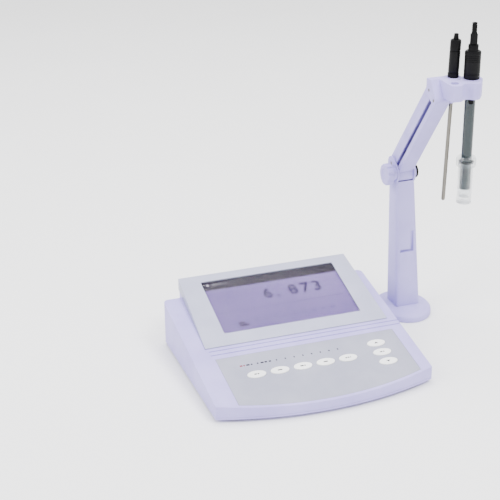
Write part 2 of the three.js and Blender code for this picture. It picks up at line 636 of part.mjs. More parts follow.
function keypad() {
  const overlay = deckSlab(overlayOutline(GAP), -RECESS + GAP + OVERLAY, -RECESS + GAP);
  const holes = keyPlaces.map((at) => oval(at, KEY_CLEARANCE, -NEAR, NEAR));
  add("keypad_overlay", cut(overlay, ...holes), GREY);
  keyPlaces.forEach((at, i) => {
    const top = -RECESS + GAP + OVERLAY + KEY_RISE;
    const cap = oval(at, 0, KEY_UNDERSIDE, top);
    const flange = oval(at, KEY_FLANGE_EDGE, KEY_UNDERSIDE, KEY_UNDERSIDE + KEY_FLANGE);
    add(`key_${i + 1}`, cap.add(flange), KEY_WHITE);
  });
  const columnBack = KEY_COLUMN_Y + KEY_COLUMN_PITCH * (KEY_COLUMN_COUNT - 1);
  const boardY = [KEY_COLUMN_Y - KEY_WIDTH, columnBack + KEY_WIDTH].map(alongDeck);
  const board = box([KEY_BOARD_LEFT, KEY_BOARD_RIGHT], boardY, [KEY_BOARD_TOP - BOARD, KEY_BOARD_TOP]);
  const domes = keyPlaces.map(([x, y]) => {
    return cylinder("z", [x, alongDeck(y)], DOME_RADIUS, KEY_BOARD_TOP - BOARD, KEY_BOARD_TOP + DOME_HEIGHT, 8);
  });
  add("key_board", placed(join(board, ...domes), deckFrame), BOARD_GREEN);
}

function boards() {
  const top = MAIN_BOARD_Z + BOARD;
  const board = box([-MAIN_BOARD_X, MAIN_BOARD_X], [MAIN_BOARD_FRONT, MAIN_BOARD_BACK], [MAIN_BOARD_Z, top]);
  const middle = (MAIN_BOARD_FRONT + MAIN_BOARD_BACK) / 2;
  const chips = [PROCESSOR, AMPLIFIER, TRANSFORMER, HEADER].map(({ x, y, width, depth, height }) => {
    const across = grown([x, x], width / 2);
    return box(across, grown([middle + y, middle + y], depth / 2), [MAIN_BOARD_Z, top + height]);
  });
  add("main_board", join(board, ...chips), BOARD_GREEN);
}

function rubberFoot(name, at) {
  const profile = [
    [0, 0],
    [RUBBER_RADIUS - RUBBER_EDGE, 0],
    [RUBBER_RADIUS, RUBBER_EDGE],
    [RUBBER_RADIUS, FOOT_LIFT - GAP],
    [RUBBER_PEG, FOOT_LIFT - GAP],
    [RUBBER_PEG, FOOT_LIFT + FLOOR],
    [0, FOOT_LIFT + FLOOR],
  ];
  add(name, turned("z", at, profile, SMALL_ROUND), RUBBER);
}

function screw(name, at, headZ, length) {
  const profile = [
    [0, headZ],
    [SCREW_HEAD_RADIUS, headZ],
    [SCREW_HEAD_RADIUS, headZ + SCREW_HEAD],
    [SCREW_RADIUS, headZ + SCREW_HEAD],
    [SCREW_RADIUS, headZ + SCREW_HEAD + length],
    [0, headZ + SCREW_HEAD + length],
  ];
  add(name, turned("z", at, profile, SMALL_ROUND), STEEL);
}

// Sockets pass through the rear panel; each is a flange outside and a body that reaches inside.
function rearSockets() {
  const outside = TAIL_DEPTH - GAP;
  const plate = box(
    grown([REAR_LEFT, REAR_RIGHT], -GAP),
    [outside - REAR_PLATE, outside],
    grown([REAR_BOTTOM, REAR_TOP], -GAP),
  );
  const face = outside + GAP;
  const back = outside - REAR_PLATE - SOCKET_INSIDE;
  const round = ({ x, flange, barrel, bore, pin, reach }) => {
    const at = [SOCKET_Z, x];
    const body = join(
      cylinder("y", at, flange, face, face + SOCKET_FLANGE),
      cylinder("y", at, barrel, back, face + reach),
    );
    const hollow = body.subtract(cylinder("y", at, bore, face + reach - SOCKET_HOLLOW, REACH, SMALL_ROUND));
    return pin > 0 ? hollow.add(cylinder("y", at, pin, back, face + reach - 1, 6)) : hollow;
  };
  const lugs = cylinder(
    "x",
    [face + BAYONET_OUT, SOCKET_Z],
    BAYONET_RADIUS,
    ELECTRODE_SOCKET.x - BAYONET_HALF,
    ELECTRODE_SOCKET.x + BAYONET_HALF,
    8,
  );
  const barrelCore = cylinder("y", [SOCKET_Z, ELECTRODE_SOCKET.x], ELECTRODE_SOCKET.bore + GAP / 2, 0, REACH);
  const slab = ([width, height], margin, from, to) => box(
    grown([SERIAL_X, SERIAL_X], width / 2 + margin),
    [from, to],
    grown([SOCKET_Z, SOCKET_Z], height / 2 + margin),
  );
  const serialBody = join(
    slab(SERIAL_SHELL, 0, back, face + SERIAL_REACH),
    slab(SERIAL_FLANGE, 0, face, face + SERIAL_FLANGE_HEIGHT),
  );
  const serialRoom = slab(SERIAL_SHELL, -SERIAL_WALL, face + SERIAL_FLANGE_HEIGHT / 2, REACH);
  const sockets = [ELECTRODE_SOCKET, REFERENCE_SOCKET, TEMPERATURE_SOCKET, POWER_INLET];
  const holes = sockets.map(({ x, barrel }) => cylinder("y", [SOCKET_Z, x], barrel + GAP, 0, REACH));
  add("rear_panel", cut(plate, ...holes, slab(SERIAL_SHELL, GAP, 0, REACH)), GREY);
  add("electrode_socket", round(ELECTRODE_SOCKET).add(lugs.subtract(barrelCore)), STEEL);
  add("reference_socket", round(REFERENCE_SOCKET), STEEL);
  add("temperature_socket", round(TEMPERATURE_SOCKET), DARK);
  add("serial_port", serialBody.subtract(serialRoom), STEEL);
  add("power_inlet", round(POWER_INLET), DARK);
}

// ---------------------------------------------------------------- stand foot and column
const COLUMN = [COLUMN_X, COLUMN_Y];
const COLUMN_BASE_Z = FOOT_TOP + GAP;
const PLATE_TOP = PLATE_LIFT + PLATE;

function standPlate() {
  const plate = prism(
    "z",
    roundedRectangle([PLATE_LEFT, PLATE_RIGHT], grown([COLUMN_Y, COLUMN_Y], PLATE_WIDTH / 2), PLATE_CORNER),
    PLATE_LIFT,
    PLATE_TOP,
    4,
  );
  const holes = plateScrews.flatMap((at) => [
    cylinder("z", at, SCREW_RADIUS + GAP, 0, REACH, SMALL_ROUND),
    cylinder("z", at, SCREW_HEAD_RADIUS + GAP, 0, PLATE_LIFT + SCREW_HEAD + GAP, SMALL_ROUND),
  ]);
  const boltHole = cylinder("z", COLUMN, BOLT_RADIUS + GAP, 0, REACH);
  const boltSeat = cylinder("z", COLUMN, BOLT_HEAD_RADIUS + GAP, 0, PLATE_LIFT + BOLT_HEAD + GAP);
  add("stand_plate", cut(plate, ...holes, boltHole, boltSeat), STEEL);
}

function standFoot() {
  const profile = [
    [0, 0],
    [FOOT_HALF_Y, 0],
    [FOOT_HALF_Y, FOOT_RIM],
    [FOOT_HALF_Y - FOOT_SHOULDER[0], FOOT_RIM + FOOT_SHOULDER[1]],
    [COLLAR_RADIUS + COLLAR_FLARE, FOOT_RIM + FOOT_DISH],
    [COLLAR_RADIUS, FOOT_TOP],
    [0, FOOT_TOP],
  ];
  const squash = new THREE.Matrix4().makeScale(FOOT_HALF_X / FOOT_HALF_Y, 1, 1);
  const move = new THREE.Matrix4().makeTranslation(COLUMN_X, COLUMN_Y, 0);
  const body = placed(turned("z", [0, 0], profile, 2 * ROUND), move.multiply(squash));
  const room = box(
    [0, PLATE_RIGHT + GAP],
    grown([COLUMN_Y, COLUMN_Y], PLATE_WIDTH / 2 + GAP),
    [-GAP, PLATE_TOP + GAP],
  );
  const hole = cylinder("z", COLUMN, BOLT_RADIUS + GAP, 0, REACH);
  add("stand_foot", cut(body, room, hole), LAVENDER);
  const bolt = join(
    cylinder("z", COLUMN, BOLT_HEAD_RADIUS, PLATE_LIFT, PLATE_LIFT + BOLT_HEAD),
    cylinder("z", COLUMN, BOLT_RADIUS, PLATE_LIFT, BOLT_TOP),
  );
  add("swivel_bolt", bolt, STEEL);
  const nutZ = COLUMN_BASE_Z + COLUMN_FLOOR + GAP;
  const nut = cylinder("z", COLUMN, NUT_RADIUS, nutZ, nutZ + NUT_HEIGHT, 6);
  add("swivel_nut", nut.subtract(cylinder("z", COLUMN, BOLT_RADIUS + GAP, 0, REACH)), STEEL);
}

// The leaning, tapering column, drawn in by `inset` and cut off at two heights.
function columnBody(inset, [low, high]) {
  const levels = [low, high].flatMap((z) => {
    const t = (z - COLUMN_BASE_Z) / (COLUMN_TOP_Z - COLUMN_BASE_Z);
    const halfX = THREE.MathUtils.lerp(COLUMN_BASE_X, COLUMN_TOP_X, t) / 2 - inset;
    const halfY = THREE.MathUtils.lerp(COLUMN_BASE_Y, COLUMN_TOP_Y, t) / 2 - inset;
    const x = COLUMN_X + COLUMN_SHIFT * t;
    const y = COLUMN_Y + COLUMN_LEAN * t;
    const corner = Math.max(COLUMN_CORNER - inset, 1);
    const outline = roundedRectangle([x - halfX, x + halfX], [y - halfY, y + halfY], corner).getPoints(3);
    return outline.map((p) => new THREE.Vector3(p.x, p.y, z));
  });
  return solid(new ConvexGeometry(levels));
}

// Pivots in the plane of the arm, as [y, z]; the lower link's pivots lie in front of the upper's.
const armDirection = [-Math.sin(radians(ARM_ANGLE)), Math.cos(radians(ARM_ANGLE))];
const armNormal = [armDirection[1], -armDirection[0]];
const along = ([y, z], distance, [dy, dz]) => [y + distance * dy, z + distance * dz];
const lowerElbow = [ELBOW_Y, ELBOW_Z];
const upperElbow = along(lowerElbow, PIVOT_SPACING, armNormal);
const lowerHead = along(lowerElbow, ARM_LENGTH, armDirection);
const upperHead = along(upperElbow, ARM_LENGTH, armDirection);
const armX = COLUMN_X + COLUMN_SHIFT;
const linkX = [armX - LINK_WIDTH / 2, armX + LINK_WIDTH / 2];
const elbowX = grown(linkX, LINK_SIDE + CHEEK);
const headX = grown(linkX, LINK_SIDE + HEAD_CHEEK);
const heel = along(along(lowerElbow, -HEEL_BACK, armDirection), -HEEL_BELOW, armNormal);
const heelReach = Math.hypot(HEEL_BACK, HEEL_BELOW) + HEEL_RADIUS;
const fromHead = ([right, back]) => [armX + right, lowerHead[0] + back];
const headTop = lowerHead[1] + HEAD_RISE;
const electrodeAt = fromHead(ELECTRODE_AT);
const bodyBottom = headTop - BODY_BELOW;

function column() {
  const lower = columnBody(0, [COLUMN_BASE_Z, COLUMN_TOP_Z]);
  const hollow = columnBody(COLUMN_WALL, [COLUMN_BASE_Z + COLUMN_FLOOR, COLUMN_TOP_Z - 3 * COLUMN_WALL]);
  const frontWall = COLUMN_Y - COLUMN_BASE_Y / 2 + COLUMN_LEAN + POCKET_DEPTH;
  const pocketBack = box([0, REACH], [0, frontWall], [POCKET_Z - POCKET_DEPTH, POCKET_Z + POCKET_HEIGHT + POCKET_DEPTH]);
  const cheekOutline = hullOutline([
    ...circlePoints(lowerElbow, LOWER_END_RADIUS + LOWER_ABOVE),
    ...circlePoints(upperElbow, UPPER_ABOVE + GAP),
    [COLUMN_Y + COLUMN_LEAN - COLUMN_TOP_Y / 2, COLUMN_TOP_Z - COLUMN_WALL],
    [COLUMN_Y + COLUMN_LEAN + COLUMN_TOP_Y / 2, COLUMN_TOP_Z - COLUMN_WALL],
  ]);
  const cheeks = prism("x", cheekOutline, ...elbowX);
  const slot = join(
    box(grown(linkX, LINK_SIDE), [0, REACH], [ELBOW_Z, REACH]),
    cylinder("x", lowerElbow, heelReach + 2 * GAP, ...grown(linkX, LINK_SIDE), 2 * ROUND),
  );
  const t = (POCKET_Z - COLUMN_BASE_Z) / (COLUMN_TOP_Z - COLUMN_BASE_Z);
  const faceY = COLUMN_Y + COLUMN_LEAN * t - THREE.MathUtils.lerp(COLUMN_BASE_Y, COLUMN_TOP_Y, t) / 2;
  const pocketX = grown([COLUMN_X + COLUMN_SHIFT * t, COLUMN_X + COLUMN_SHIFT * t], POCKET_WIDTH / 2);
  const pocketRoom = box(pocketX, [0, faceY + POCKET_DEPTH], [POCKET_Z, POCKET_Z + POCKET_HEIGHT]);
  const tab = box([0, pocketX[1] - TAB_SIDE], [faceY + TAB_SINK, REACH], [POCKET_Z + TAB_BELOW, REACH]);
  const pocket = pocketRoom.subtract(tab);
  const shell = join(lower.subtract(hollow), pocketBack.intersect(lower), cheeks);
  const bores = [
    cylinder("x", lowerElbow, ELBOW_BOLT_RADIUS + GAP, 0, REACH),
    cylinder("x", upperElbow, PIN_RADIUS + GAP, 0, REACH),
    cylinder("z", COLUMN, BOLT_RADIUS + GAP, 0, COLUMN_BASE_Z + COLUMN_FLOOR + GAP),
  ];
  add("column", cut(shell, slot, pocket, ...bores), LAVENDER);
}

// ---------------------------------------------------------------- arm
// The two circles that bound a link of the given half heights, as a hull outline from end to end.
function linkOutline([from, to], above, below, direction, normal) {
  const middle = (above - below) / 2;
  const radius = (above + below) / 2;
  const ends = [from, to].map((pivot) => along(pivot, middle, normal));
  return hullOutline(ends.flatMap((end) => circlePoints(end, radius)));
}

function arm() {
  const upperOutline = linkOutline([upperElbow, upperHead], UPPER_ABOVE, UPPER_BELOW, armDirection, armNormal);
  const upperBores = [upperElbow, upperHead].map((at) => cylinder("x", at, PIN_RADIUS + GAP, 0, REACH));
  const channelEnds = [
    along(upperElbow, CHANNEL_MARGIN, armDirection),
    along(upperHead, -CHANNEL_MARGIN, armDirection),
  ];
  const channel = prism(
    "x",
    hullOutline(channelEnds.flatMap((end) => [
      along(end, UPPER_ABOVE - LINK_WALL, armNormal),
      along(end, -2 * UPPER_BELOW, armNormal),
    ])),
    ...grown(linkX, -LINK_WALL),
  );
  add("upper_link", cut(prism("x", upperOutline, ...linkX), channel, ...upperBores), LAVENDER);

  const lowerOutline = linkOutline([lowerElbow, lowerHead], LOWER_ABOVE, LOWER_BELOW, armDirection, armNormal);
  const elbowEnd = hullOutline([
    ...circlePoints(lowerElbow, LOWER_END_RADIUS),
    ...circlePoints(heel, HEEL_RADIUS),
  ]);
  const headEnd = cylinder("x", lowerHead, LOWER_END_RADIUS, ...linkX);
  const standing = ([from, to], height, width) => {
    const feet = [from, to].map((distance) => along(lowerElbow, distance, armDirection));
    const outline = feet.flatMap((foot) => [foot, along(foot, LOWER_ABOVE + height, armNormal)]);
    return prism("x", hullOutline(outline), ...grown([armX, armX], width / 2));
  };
  const ribs = [[RIB_END, RIBS_APART[0]], [RIBS_APART[1], ARM_LENGTH - RIB_END]]
    .map((span) => standing(span, RIB_HEIGHT, RIB_WIDTH));
  const lug = standing(grown([LUG_AT, LUG_AT], LUG_LENGTH / 2), LUG_HEIGHT, LUG_WIDTH);
  const lowerBores = [
    cylinder("x", lowerElbow, ELBOW_BOLT_RADIUS + GAP, 0, REACH),
    cylinder("x", lowerHead, PIN_RADIUS + GAP, 0, REACH),
  ];
  const lower = join(prism("x", lowerOutline, ...linkX), prism("x", elbowEnd, ...linkX), headEnd, ...ribs, lug);
  add("lower_link", cut(lower, ...lowerBores), LAVENDER);
}

function pins() {
  add("upper_elbow_pin", cylinder("x", upperElbow, PIN_RADIUS, ...elbowX, SMALL_ROUND), STEEL);
  add("upper_head_pin", cylinder("x", upperHead, PIN_RADIUS, ...headX, SMALL_ROUND), STEEL);
  add("lower_head_pin", cylinder("x", lowerHead, PIN_RADIUS, ...headX, SMALL_ROUND), STEEL);
  const knobRight = elbowX[0] - GAP;
  const knobLeft = knobRight - KNOB_HUB - KNOB_THICKNESS;
  const nutLeft = elbowX[1] + GAP;
  const boltStart = knobLeft + KNOB_SOCKET;
  const boltEnd = nutLeft + CAP_NUT - CAP_NUT_FACE;
  add("tension_bolt", cylinder("x", lowerElbow, ELBOW_BOLT_RADIUS, boltStart, boltEnd), STEEL);
  const disc = cylinder("x", lowerElbow, KNOB_RADIUS, knobLeft, knobRight - KNOB_HUB, 2 * ROUND);
  const hub = cylinder("x", lowerElbow, KNOB_HUB_RADIUS, knobLeft, knobRight);
  const lobes = circlePoints(lowerElbow, KNOB_RADIUS + 1, KNOB_LOBES)
    .map((at) => cylinder("x", at, LOBE_RADIUS, 0, REACH, SMALL_ROUND));
  const knobBore = cylinder("x", lowerElbow, ELBOW_BOLT_RADIUS + GAP, boltStart - GAP, REACH);
  add("tension_knob", cut(join(disc, hub), ...lobes, knobBore), LAVENDER);
  const nut = cylinder("x", lowerElbow, CAP_NUT_RADIUS, nutLeft, nutLeft + CAP_NUT);
  const nutBore = cylinder("x", lowerElbow, ELBOW_BOLT_RADIUS + GAP, 0, boltEnd + GAP);
  add("tension_nut", nut.subtract(nutBore), DARK);
}

// ---------------------------------------------------------------- head
function head() {
  const clearance = GAP * 2;
  const left = armX + HOLDER_LEFT;
  const front = lowerHead[0] + HEAD_FRONT;
  const back = lowerHead[0] + HEAD_BACK;
  const cheekOutline = hullOutline([
    ...circlePoints(upperHead, HEAD_EAR),
    ...circlePoints(lowerHead, HEAD_LUG),
    [front, headTop],
    [back, headTop],
  ]);
  const room = hullOutline([
    ...circlePoints(upperHead, UPPER_ABOVE + clearance),
    ...circlePoints(lowerHead, LOWER_END_RADIUS + clearance),
    [upperHead[0] + NEAR, upperHead[1] + UPPER_ABOVE + clearance],
    [upperHead[0] + NEAR, upperHead[1] - NEAR],
    [lowerHead[0] - LOWER_END_RADIUS, lowerHead[1] - NEAR],
  ]);
  const block = prism("x", cheekOutline, ...headX);
  const heights = [headTop - HOLDER_THICKNESS, headTop];
  const fingerY = [lowerHead[0] + HOLDER_FRONT, front + FINGER_CORNER + MERGE];
  const finger = roundedRectangle([left, left + FINGER_WIDTH], fingerY, FINGER_CORNER);
  const leftFinger = prism("z", finger, ...heights, 4);
  const rightFinger = prism(
    "z",
    hullOutline([
      ...circlePoints(fromHead(RIGHT_FINGER_AT), RIGHT_FINGER_RADIUS),
      ...circlePoints(electrodeAt, ELECTRODE_BOSS),
    ]),
    ...heights,
  );
  const probeAt = fromHead(PROBE_AT);
  const rootFront = probeAt[1] - PROBE_BOSS - PROBE_AT[1];
  const root = [[left + MERGE, rootFront], [left + MERGE, back - PROBE_ROOT]];
  const probeBoss = prism("z", hullOutline([...circlePoints(probeAt, PROBE_BOSS), ...root]), ...heights);
  const flute = fromHead(FLUTE_AT);
  const web = box([left + FINGER_WIDTH / 2, electrodeAt[0]], [flute[1] + FLUTE_RADIUS / 2, electrodeAt[1]], heights);
  const bores = [
    cylinder("x", upperHead, PIN_RADIUS + GAP, 0, headX[1] + MERGE, SMALL_ROUND),
    cylinder("x", lowerHead, PIN_RADIUS + GAP, 0, headX[1] + MERGE, SMALL_ROUND),
    cylinder("z", electrodeAt, BODY_RADIUS + 2 * GAP, 0, REACH + REACH),
    cylinder("z", probeAt, SLEEVE_RADIUS + 3 * GAP, 0, REACH + REACH),
    cylinder("z", fromHead(SPARE_AT), SPARE_RADIUS, 0, REACH + REACH),
    cylinder("z", flute, FLUTE_RADIUS, 0, REACH + REACH),
  ];
  const roomX = grown(linkX, LINK_SIDE);
  const whole = join(block, leftFinger, rightFinger, probeBoss, web);
  add("electrode_holder", cut(whole, prism("x", room, ...roomX), ...bores), LAVENDER);
}

// ---------------------------------------------------------------- pH electrode
function electrode() {
  const seat = headTop + GAP;
  const capTop = seat + CAP_HEIGHT;
  const bodyTop = seat + CAP_OVERLAP;
  const neckTop = capTop + CAP_NECK;
  const cap = [
    [0, bodyTop + GAP],
    [BODY_RADIUS + GAP, bodyTop + GAP],
    [BODY_RADIUS + GAP, seat],
    [CAP_RADIUS, seat],
    [CAP_RADIUS, capTop - EDGE],
    [CAP_RADIUS - EDGE, capTop],
    [CAP_NECK_RADIUS, capTop],
    [CAP_NECK_RADIUS, neckTop],
    [0, neckTop],
  ];
  add("electrode_cap", turned("z", electrodeAt, cap), DARK);
  const relief = [
    [0, neckTop + GAP],
    [RELIEF_RADIUS, neckTop + GAP],
    [RELIEF_RADIUS, neckTop + RELIEF_HEIGHT],
    [STUB_RADIUS, neckTop + RELIEF_HEIGHT + EDGE],
    [STUB_RADIUS, neckTop + RELIEF_HEIGHT + STUB_HEIGHT],
    [0, neckTop + RELIEF_HEIGHT + STUB_HEIGHT],
  ];
  add("electrode_strain_relief", turned("z", electrodeAt, relief, SMALL_ROUND), RUBBER);
  const body = turned("z", electrodeAt, [
    [BODY_BORE, bodyBottom],
    [BODY_RADIUS - EDGE, bodyBottom],
    [BODY_RADIUS, bodyBottom + EDGE],
    [BODY_RADIUS, bodyTop],
    [BODY_BORE, bodyTop],
  ]);
  const plugZ = headTop - HOLDER_THICKNESS - PLUG_BELOW;
  const plugFrame = new THREE.Matrix4()
    .makeTranslation(electrodeAt[0], electrodeAt[1], plugZ)
    .multiply(new THREE.Matrix4().makeRotationZ(-radians(PLUG_TURN)));
  const radial = (radius, from, to) => placed(cylinder("y", [0, 0], radius, from, to, SMALL_ROUND), plugFrame);
  add("electrode_body", body.subtract(radial(PLUG_RADIUS + GAP, -2 * BODY_RADIUS, 0)), GLASS);
  const plugFace = PLUG_SINK - BODY_RADIUS;
  add("refill_plug", radial(PLUG_RADIUS, plugFace, plugFace + PLUG_DEPTH), RUBBER);
  const bulbZ = bodyBottom + BULB_RISE;
  const innerBottom = bulbZ + BULB_RADIUS + GAP;
  add("inner_tube", cylinder("z", electrodeAt, INNER_RADIUS, innerBottom, bodyTop - GAP, SMALL_ROUND), GLASS);
  const bulb = new THREE.SphereGeometry(BULB_RADIUS, SMALL_ROUND, 6);
  bulb.translate(electrodeAt[0], electrodeAt[1], bulbZ);
  add("glass_bulb", solid(bulb), CLEAR);
}

function bottle() {
  const bottom = bodyBottom - BOTTLE_BELOW;
  const top = bodyBottom + BOTTLE_ABOVE;
  const tube = [
    [0, bottom],
    [BOTTLE_RADIUS - EDGE, bottom],
    [BOTTLE_RADIUS, bottom + EDGE],
    [BOTTLE_RADIUS, top],
    [BOTTLE_BORE, top],
    [BOTTLE_BORE, bottom + BOTTLE_BASE],
    [0, bottom + BOTTLE_BASE],
  ];
  add("storage_bottle", turned("z", electrodeAt, tube), CLEAR);
  const bore = BODY_RADIUS + GAP;
  const sealBottom = top + GAP;
  const sealTop = sealBottom + SEAL_HEIGHT;
  const ringBottom = top - RING_OVERLAP;
  const ringTop = top + RING_ABOVE;
  const ring = [
    [BOTTLE_RADIUS + GAP, ringBottom],
    [RING_RADIUS, ringBottom],
    [RING_RADIUS, ringTop - EDGE],
    [RING_RADIUS - EDGE, ringTop],
    [bore, ringTop],
    [bore, sealTop + GAP],
    [BOTTLE_RADIUS + GAP, sealTop + GAP],
  ];
  add("bottle_ring", turned("z", electrodeAt, ring), CLEAR);
  const seal = [
    [bore, sealBottom],
    [BOTTLE_RADIUS, sealBottom],
    [BOTTLE_RADIUS, sealTop],
    [bore, sealTop],
  ];
  add("bottle_seal", turned("z", electrodeAt, seal), RUBBER);
}

// ---------------------------------------------------------------- temperature probe
// The probe hangs a little askew in its bore; heights below are from the holder's top face.
function probe() {
  const group = new THREE.Group();
  group.position.set(...fromHead(PROBE_AT), headTop);
  group.rotation.y = radians(PROBE_TILT);
  meter.add(group);
  const seat = GAP + FLANGE_RADIUS * Math.tan(radians(PROBE_TILT));
  const grooveZ = seat + FLANGE_HEIGHT + HANDLE_HEIGHT;
  const handleTop = grooveZ + HANDLE_GROOVE + HANDLE_TOP_HEIGHT;
  const handle = [
    [ROD_RADIUS + GAP, -SLEEVE_LENGTH],
    [SLEEVE_RADIUS, -SLEEVE_LENGTH],
    [SLEEVE_RADIUS, seat],
    [FLANGE_RADIUS, seat],
    [FLANGE_RADIUS, seat + FLANGE_HEIGHT],
    [HANDLE_RADIUS - HANDLE_WAIST, seat + FLANGE_HEIGHT],
    [HANDLE_RADIUS, seat + FLANGE_HEIGHT + 2 * EDGE],
    [HANDLE_RADIUS, grooveZ],
    [HANDLE_RADIUS - HANDLE_GROOVE, grooveZ],
    [HANDLE_RADIUS - HANDLE_GROOVE, grooveZ + HANDLE_GROOVE],
    [HANDLE_RADIUS, grooveZ + HANDLE_GROOVE],
    [HANDLE_RADIUS, handleTop - EDGE],
    [HANDLE_RADIUS - EDGE, handleTop],
    [0, handleTop],
    [0, handleTop - NUB_HEIGHT],
    [ROD_RADIUS + GAP, handleTop - NUB_HEIGHT],
  ];
  add("probe_handle", turned("z", [0, 0], handle), DARK, group);
  const nubZ = handleTop + GAP;
  const nub = cylinder("z", [0, 0], NUB_RADIUS, nubZ, nubZ + NUB_HEIGHT, SMALL_ROUND);
  add("probe_strain_relief", nub, RUBBER, group);
  const rod = [
    [0, -ROD_BELOW],
    [ROD_RADIUS - EDGE, -ROD_BELOW],
    [ROD_RADIUS, EDGE - ROD_BELOW],
    [ROD_RADIUS, grooveZ],
    [0, grooveZ],
  ];
  add("probe_rod", turned("z", [0, 0], rod, SMALL_ROUND), STEEL, group);
}

lowerCase();
upperCase();
displayHousing();
display();
keypad();
boards();
rearSockets();
const footNames = ["front_left", "front_right", "back_left", "back_right"];
rubberFeet.forEach((at, i) => rubberFoot(`rubber_foot_${footNames[i]}`, at));
caseScrews.forEach((at, i) => screw(`case_screw_${i + 1}`, at, FOOT_LIFT + GAP, SCREW_LENGTH));
plateScrews.forEach((at, i) => screw(`plate_screw_${i + 1}`, at, PLATE_LIFT + GAP, SCREW_LENGTH / 2));
standPlate();
standFoot();
column();
arm();
pins();
head();
electrode();
bottle();
probe();

// The origin is at the middle of the meter's footprint, on the bench.
const extent = new THREE.Box3().setFromObject(meter);
meter.position.set(-(extent.min.x + extent.max.x) / 2, -(extent.min.y + extent.max.y) / 2, -extent.min.z);
const assembly = new THREE.Group();
assembly.add(meter);

export default assembly;
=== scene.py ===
"""A bench pH meter: the visual model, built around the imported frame.

The console, the stand and the electrodes are modelled piece by piece at the places the frame gives, in metres,
with +Z up, +X to the user's right and -Y towards the user.
"""
import logging
import math
from dataclasses import dataclass
from enum import Enum
from typing import Iterable, Sequence

import bpy
from mathutils import Matrix, Vector


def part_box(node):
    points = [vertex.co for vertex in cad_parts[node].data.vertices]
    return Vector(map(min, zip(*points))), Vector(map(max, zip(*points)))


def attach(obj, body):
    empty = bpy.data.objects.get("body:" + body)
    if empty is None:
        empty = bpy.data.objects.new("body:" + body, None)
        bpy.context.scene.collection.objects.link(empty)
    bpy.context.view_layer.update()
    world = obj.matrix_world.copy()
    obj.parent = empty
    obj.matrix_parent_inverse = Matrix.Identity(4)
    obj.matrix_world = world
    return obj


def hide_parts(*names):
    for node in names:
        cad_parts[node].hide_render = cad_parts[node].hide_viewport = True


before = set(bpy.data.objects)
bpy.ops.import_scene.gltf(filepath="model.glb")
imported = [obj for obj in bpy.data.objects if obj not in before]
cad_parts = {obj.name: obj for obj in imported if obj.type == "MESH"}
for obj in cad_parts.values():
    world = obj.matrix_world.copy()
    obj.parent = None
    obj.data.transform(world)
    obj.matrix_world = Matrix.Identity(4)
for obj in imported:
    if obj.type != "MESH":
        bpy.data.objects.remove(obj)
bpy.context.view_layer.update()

LOG = logging.getLogger("ph_meter")
MM = 0.001
PLAY = 0.3  # the gap left between neighbouring pieces, in millimetres
SMOOTH_ANGLE = math.radians(35)
Point = tuple[float, float]


# ---------------------------------------------------------------- bodies and slots
class Body(Enum):
    """The moving bodies of the frame."""

    ROOT = "root"
    COLUMN = "column_swivel"
    UPPER_ARM = "upper_arm"
    LOWER_ARM = "lower_arm"
    HEAD = "head"
    KNOB = "knob"
    ELECTRODE = "ph_electrode"
    PLUG = "plug"
    BOTTLE = "bottle"
    PROBE = "probe"


class Slot(Enum):
    """Material slot names, handed along with the pieces made here; nothing reads them."""

    CASE = "case_lavender"
    PANEL = "panel_grey"
    KEY = "key_white"
    LENS = "display_lens"
    DISPLAY = "display_glass"
    BLACK = "black_plastic"
    RUBBER = "black_rubber"
    STEEL = "steel"
    ELECTRODE_GLASS = "electrode_glass"
    CLEAR = "clear_plastic"


class Axis(Enum):
    """The row axis that a turned piece is turned about."""

    X = "x"
    Y = "y"
    Z = "z"

    def frame(self) -> Matrix:
        """The matrix that carries +Z to this axis."""
        if self is Axis.X:
            return Matrix.Rotation(math.pi / 2, 4, "Y")
        if self is Axis.Y:
            return Matrix.Rotation(-math.pi / 2, 4, "X")
        return Matrix.Identity(4)


# ---------------------------------------------------------------- finishes
def linear(code: str) -> tuple[float, float, float, float]:
    """Turns an sRGB colour, given as six hex digits, to linear red, green, blue and a full alpha."""
    channels = [int(code[i : i + 2], 16) / 255 for i in (0, 2, 4)]
    values = [c / 12.92 if c <= 0.04045 else ((c + 0.055) / 1.055) ** 2.4 for c in channels]
    return values[0], values[1], values[2], 1.0


def feed(node: bpy.types.Node, inputs: dict) -> None:
    """Sets a node's inputs, each to a value or to the socket that feeds it."""
    for key, value in inputs.items():
        if isinstance(value, bpy.types.NodeSocket):
            node.id_data.links.new(value, node.inputs[key])
        else:
            node.inputs[key].default_value = value


def add_node(tree: bpy.types.NodeTree, kind: str, inputs: dict | None = None, **settings: object) -> bpy.types.Node:
    """Adds a shader node, sets it and links it.

    Args:
        tree: The material's node tree.
        kind: The node's type name without its ShaderNode prefix.
        inputs: Input name or number to a value, or to the socket that feeds it.
        **settings: Properties of the node itself.

    Returns:
        The new node.
    """
    node = tree.nodes.new("ShaderNode" + kind)
    for key, value in settings.items():
        setattr(node, key, value)
    feed(node, inputs or {})
    return node


def new_material(name: str) -> tuple[bpy.types.Material, bpy.types.NodeTree, bpy.types.Node]:
    """Makes a material with one shader.

    Args:
        name: The finish's name.

    Returns:
        The material, its node tree and its Principled shader.
    """
    material = bpy.data.materials.new(name)
    material.use_nodes = True
    return material, material.node_tree, material.node_tree.nodes["Principled BSDF"]


def per_metre(size_mm: float) -> float:
    """The scale of a noise whose features measure size_mm."""
    return 1 / (size_mm * MM)


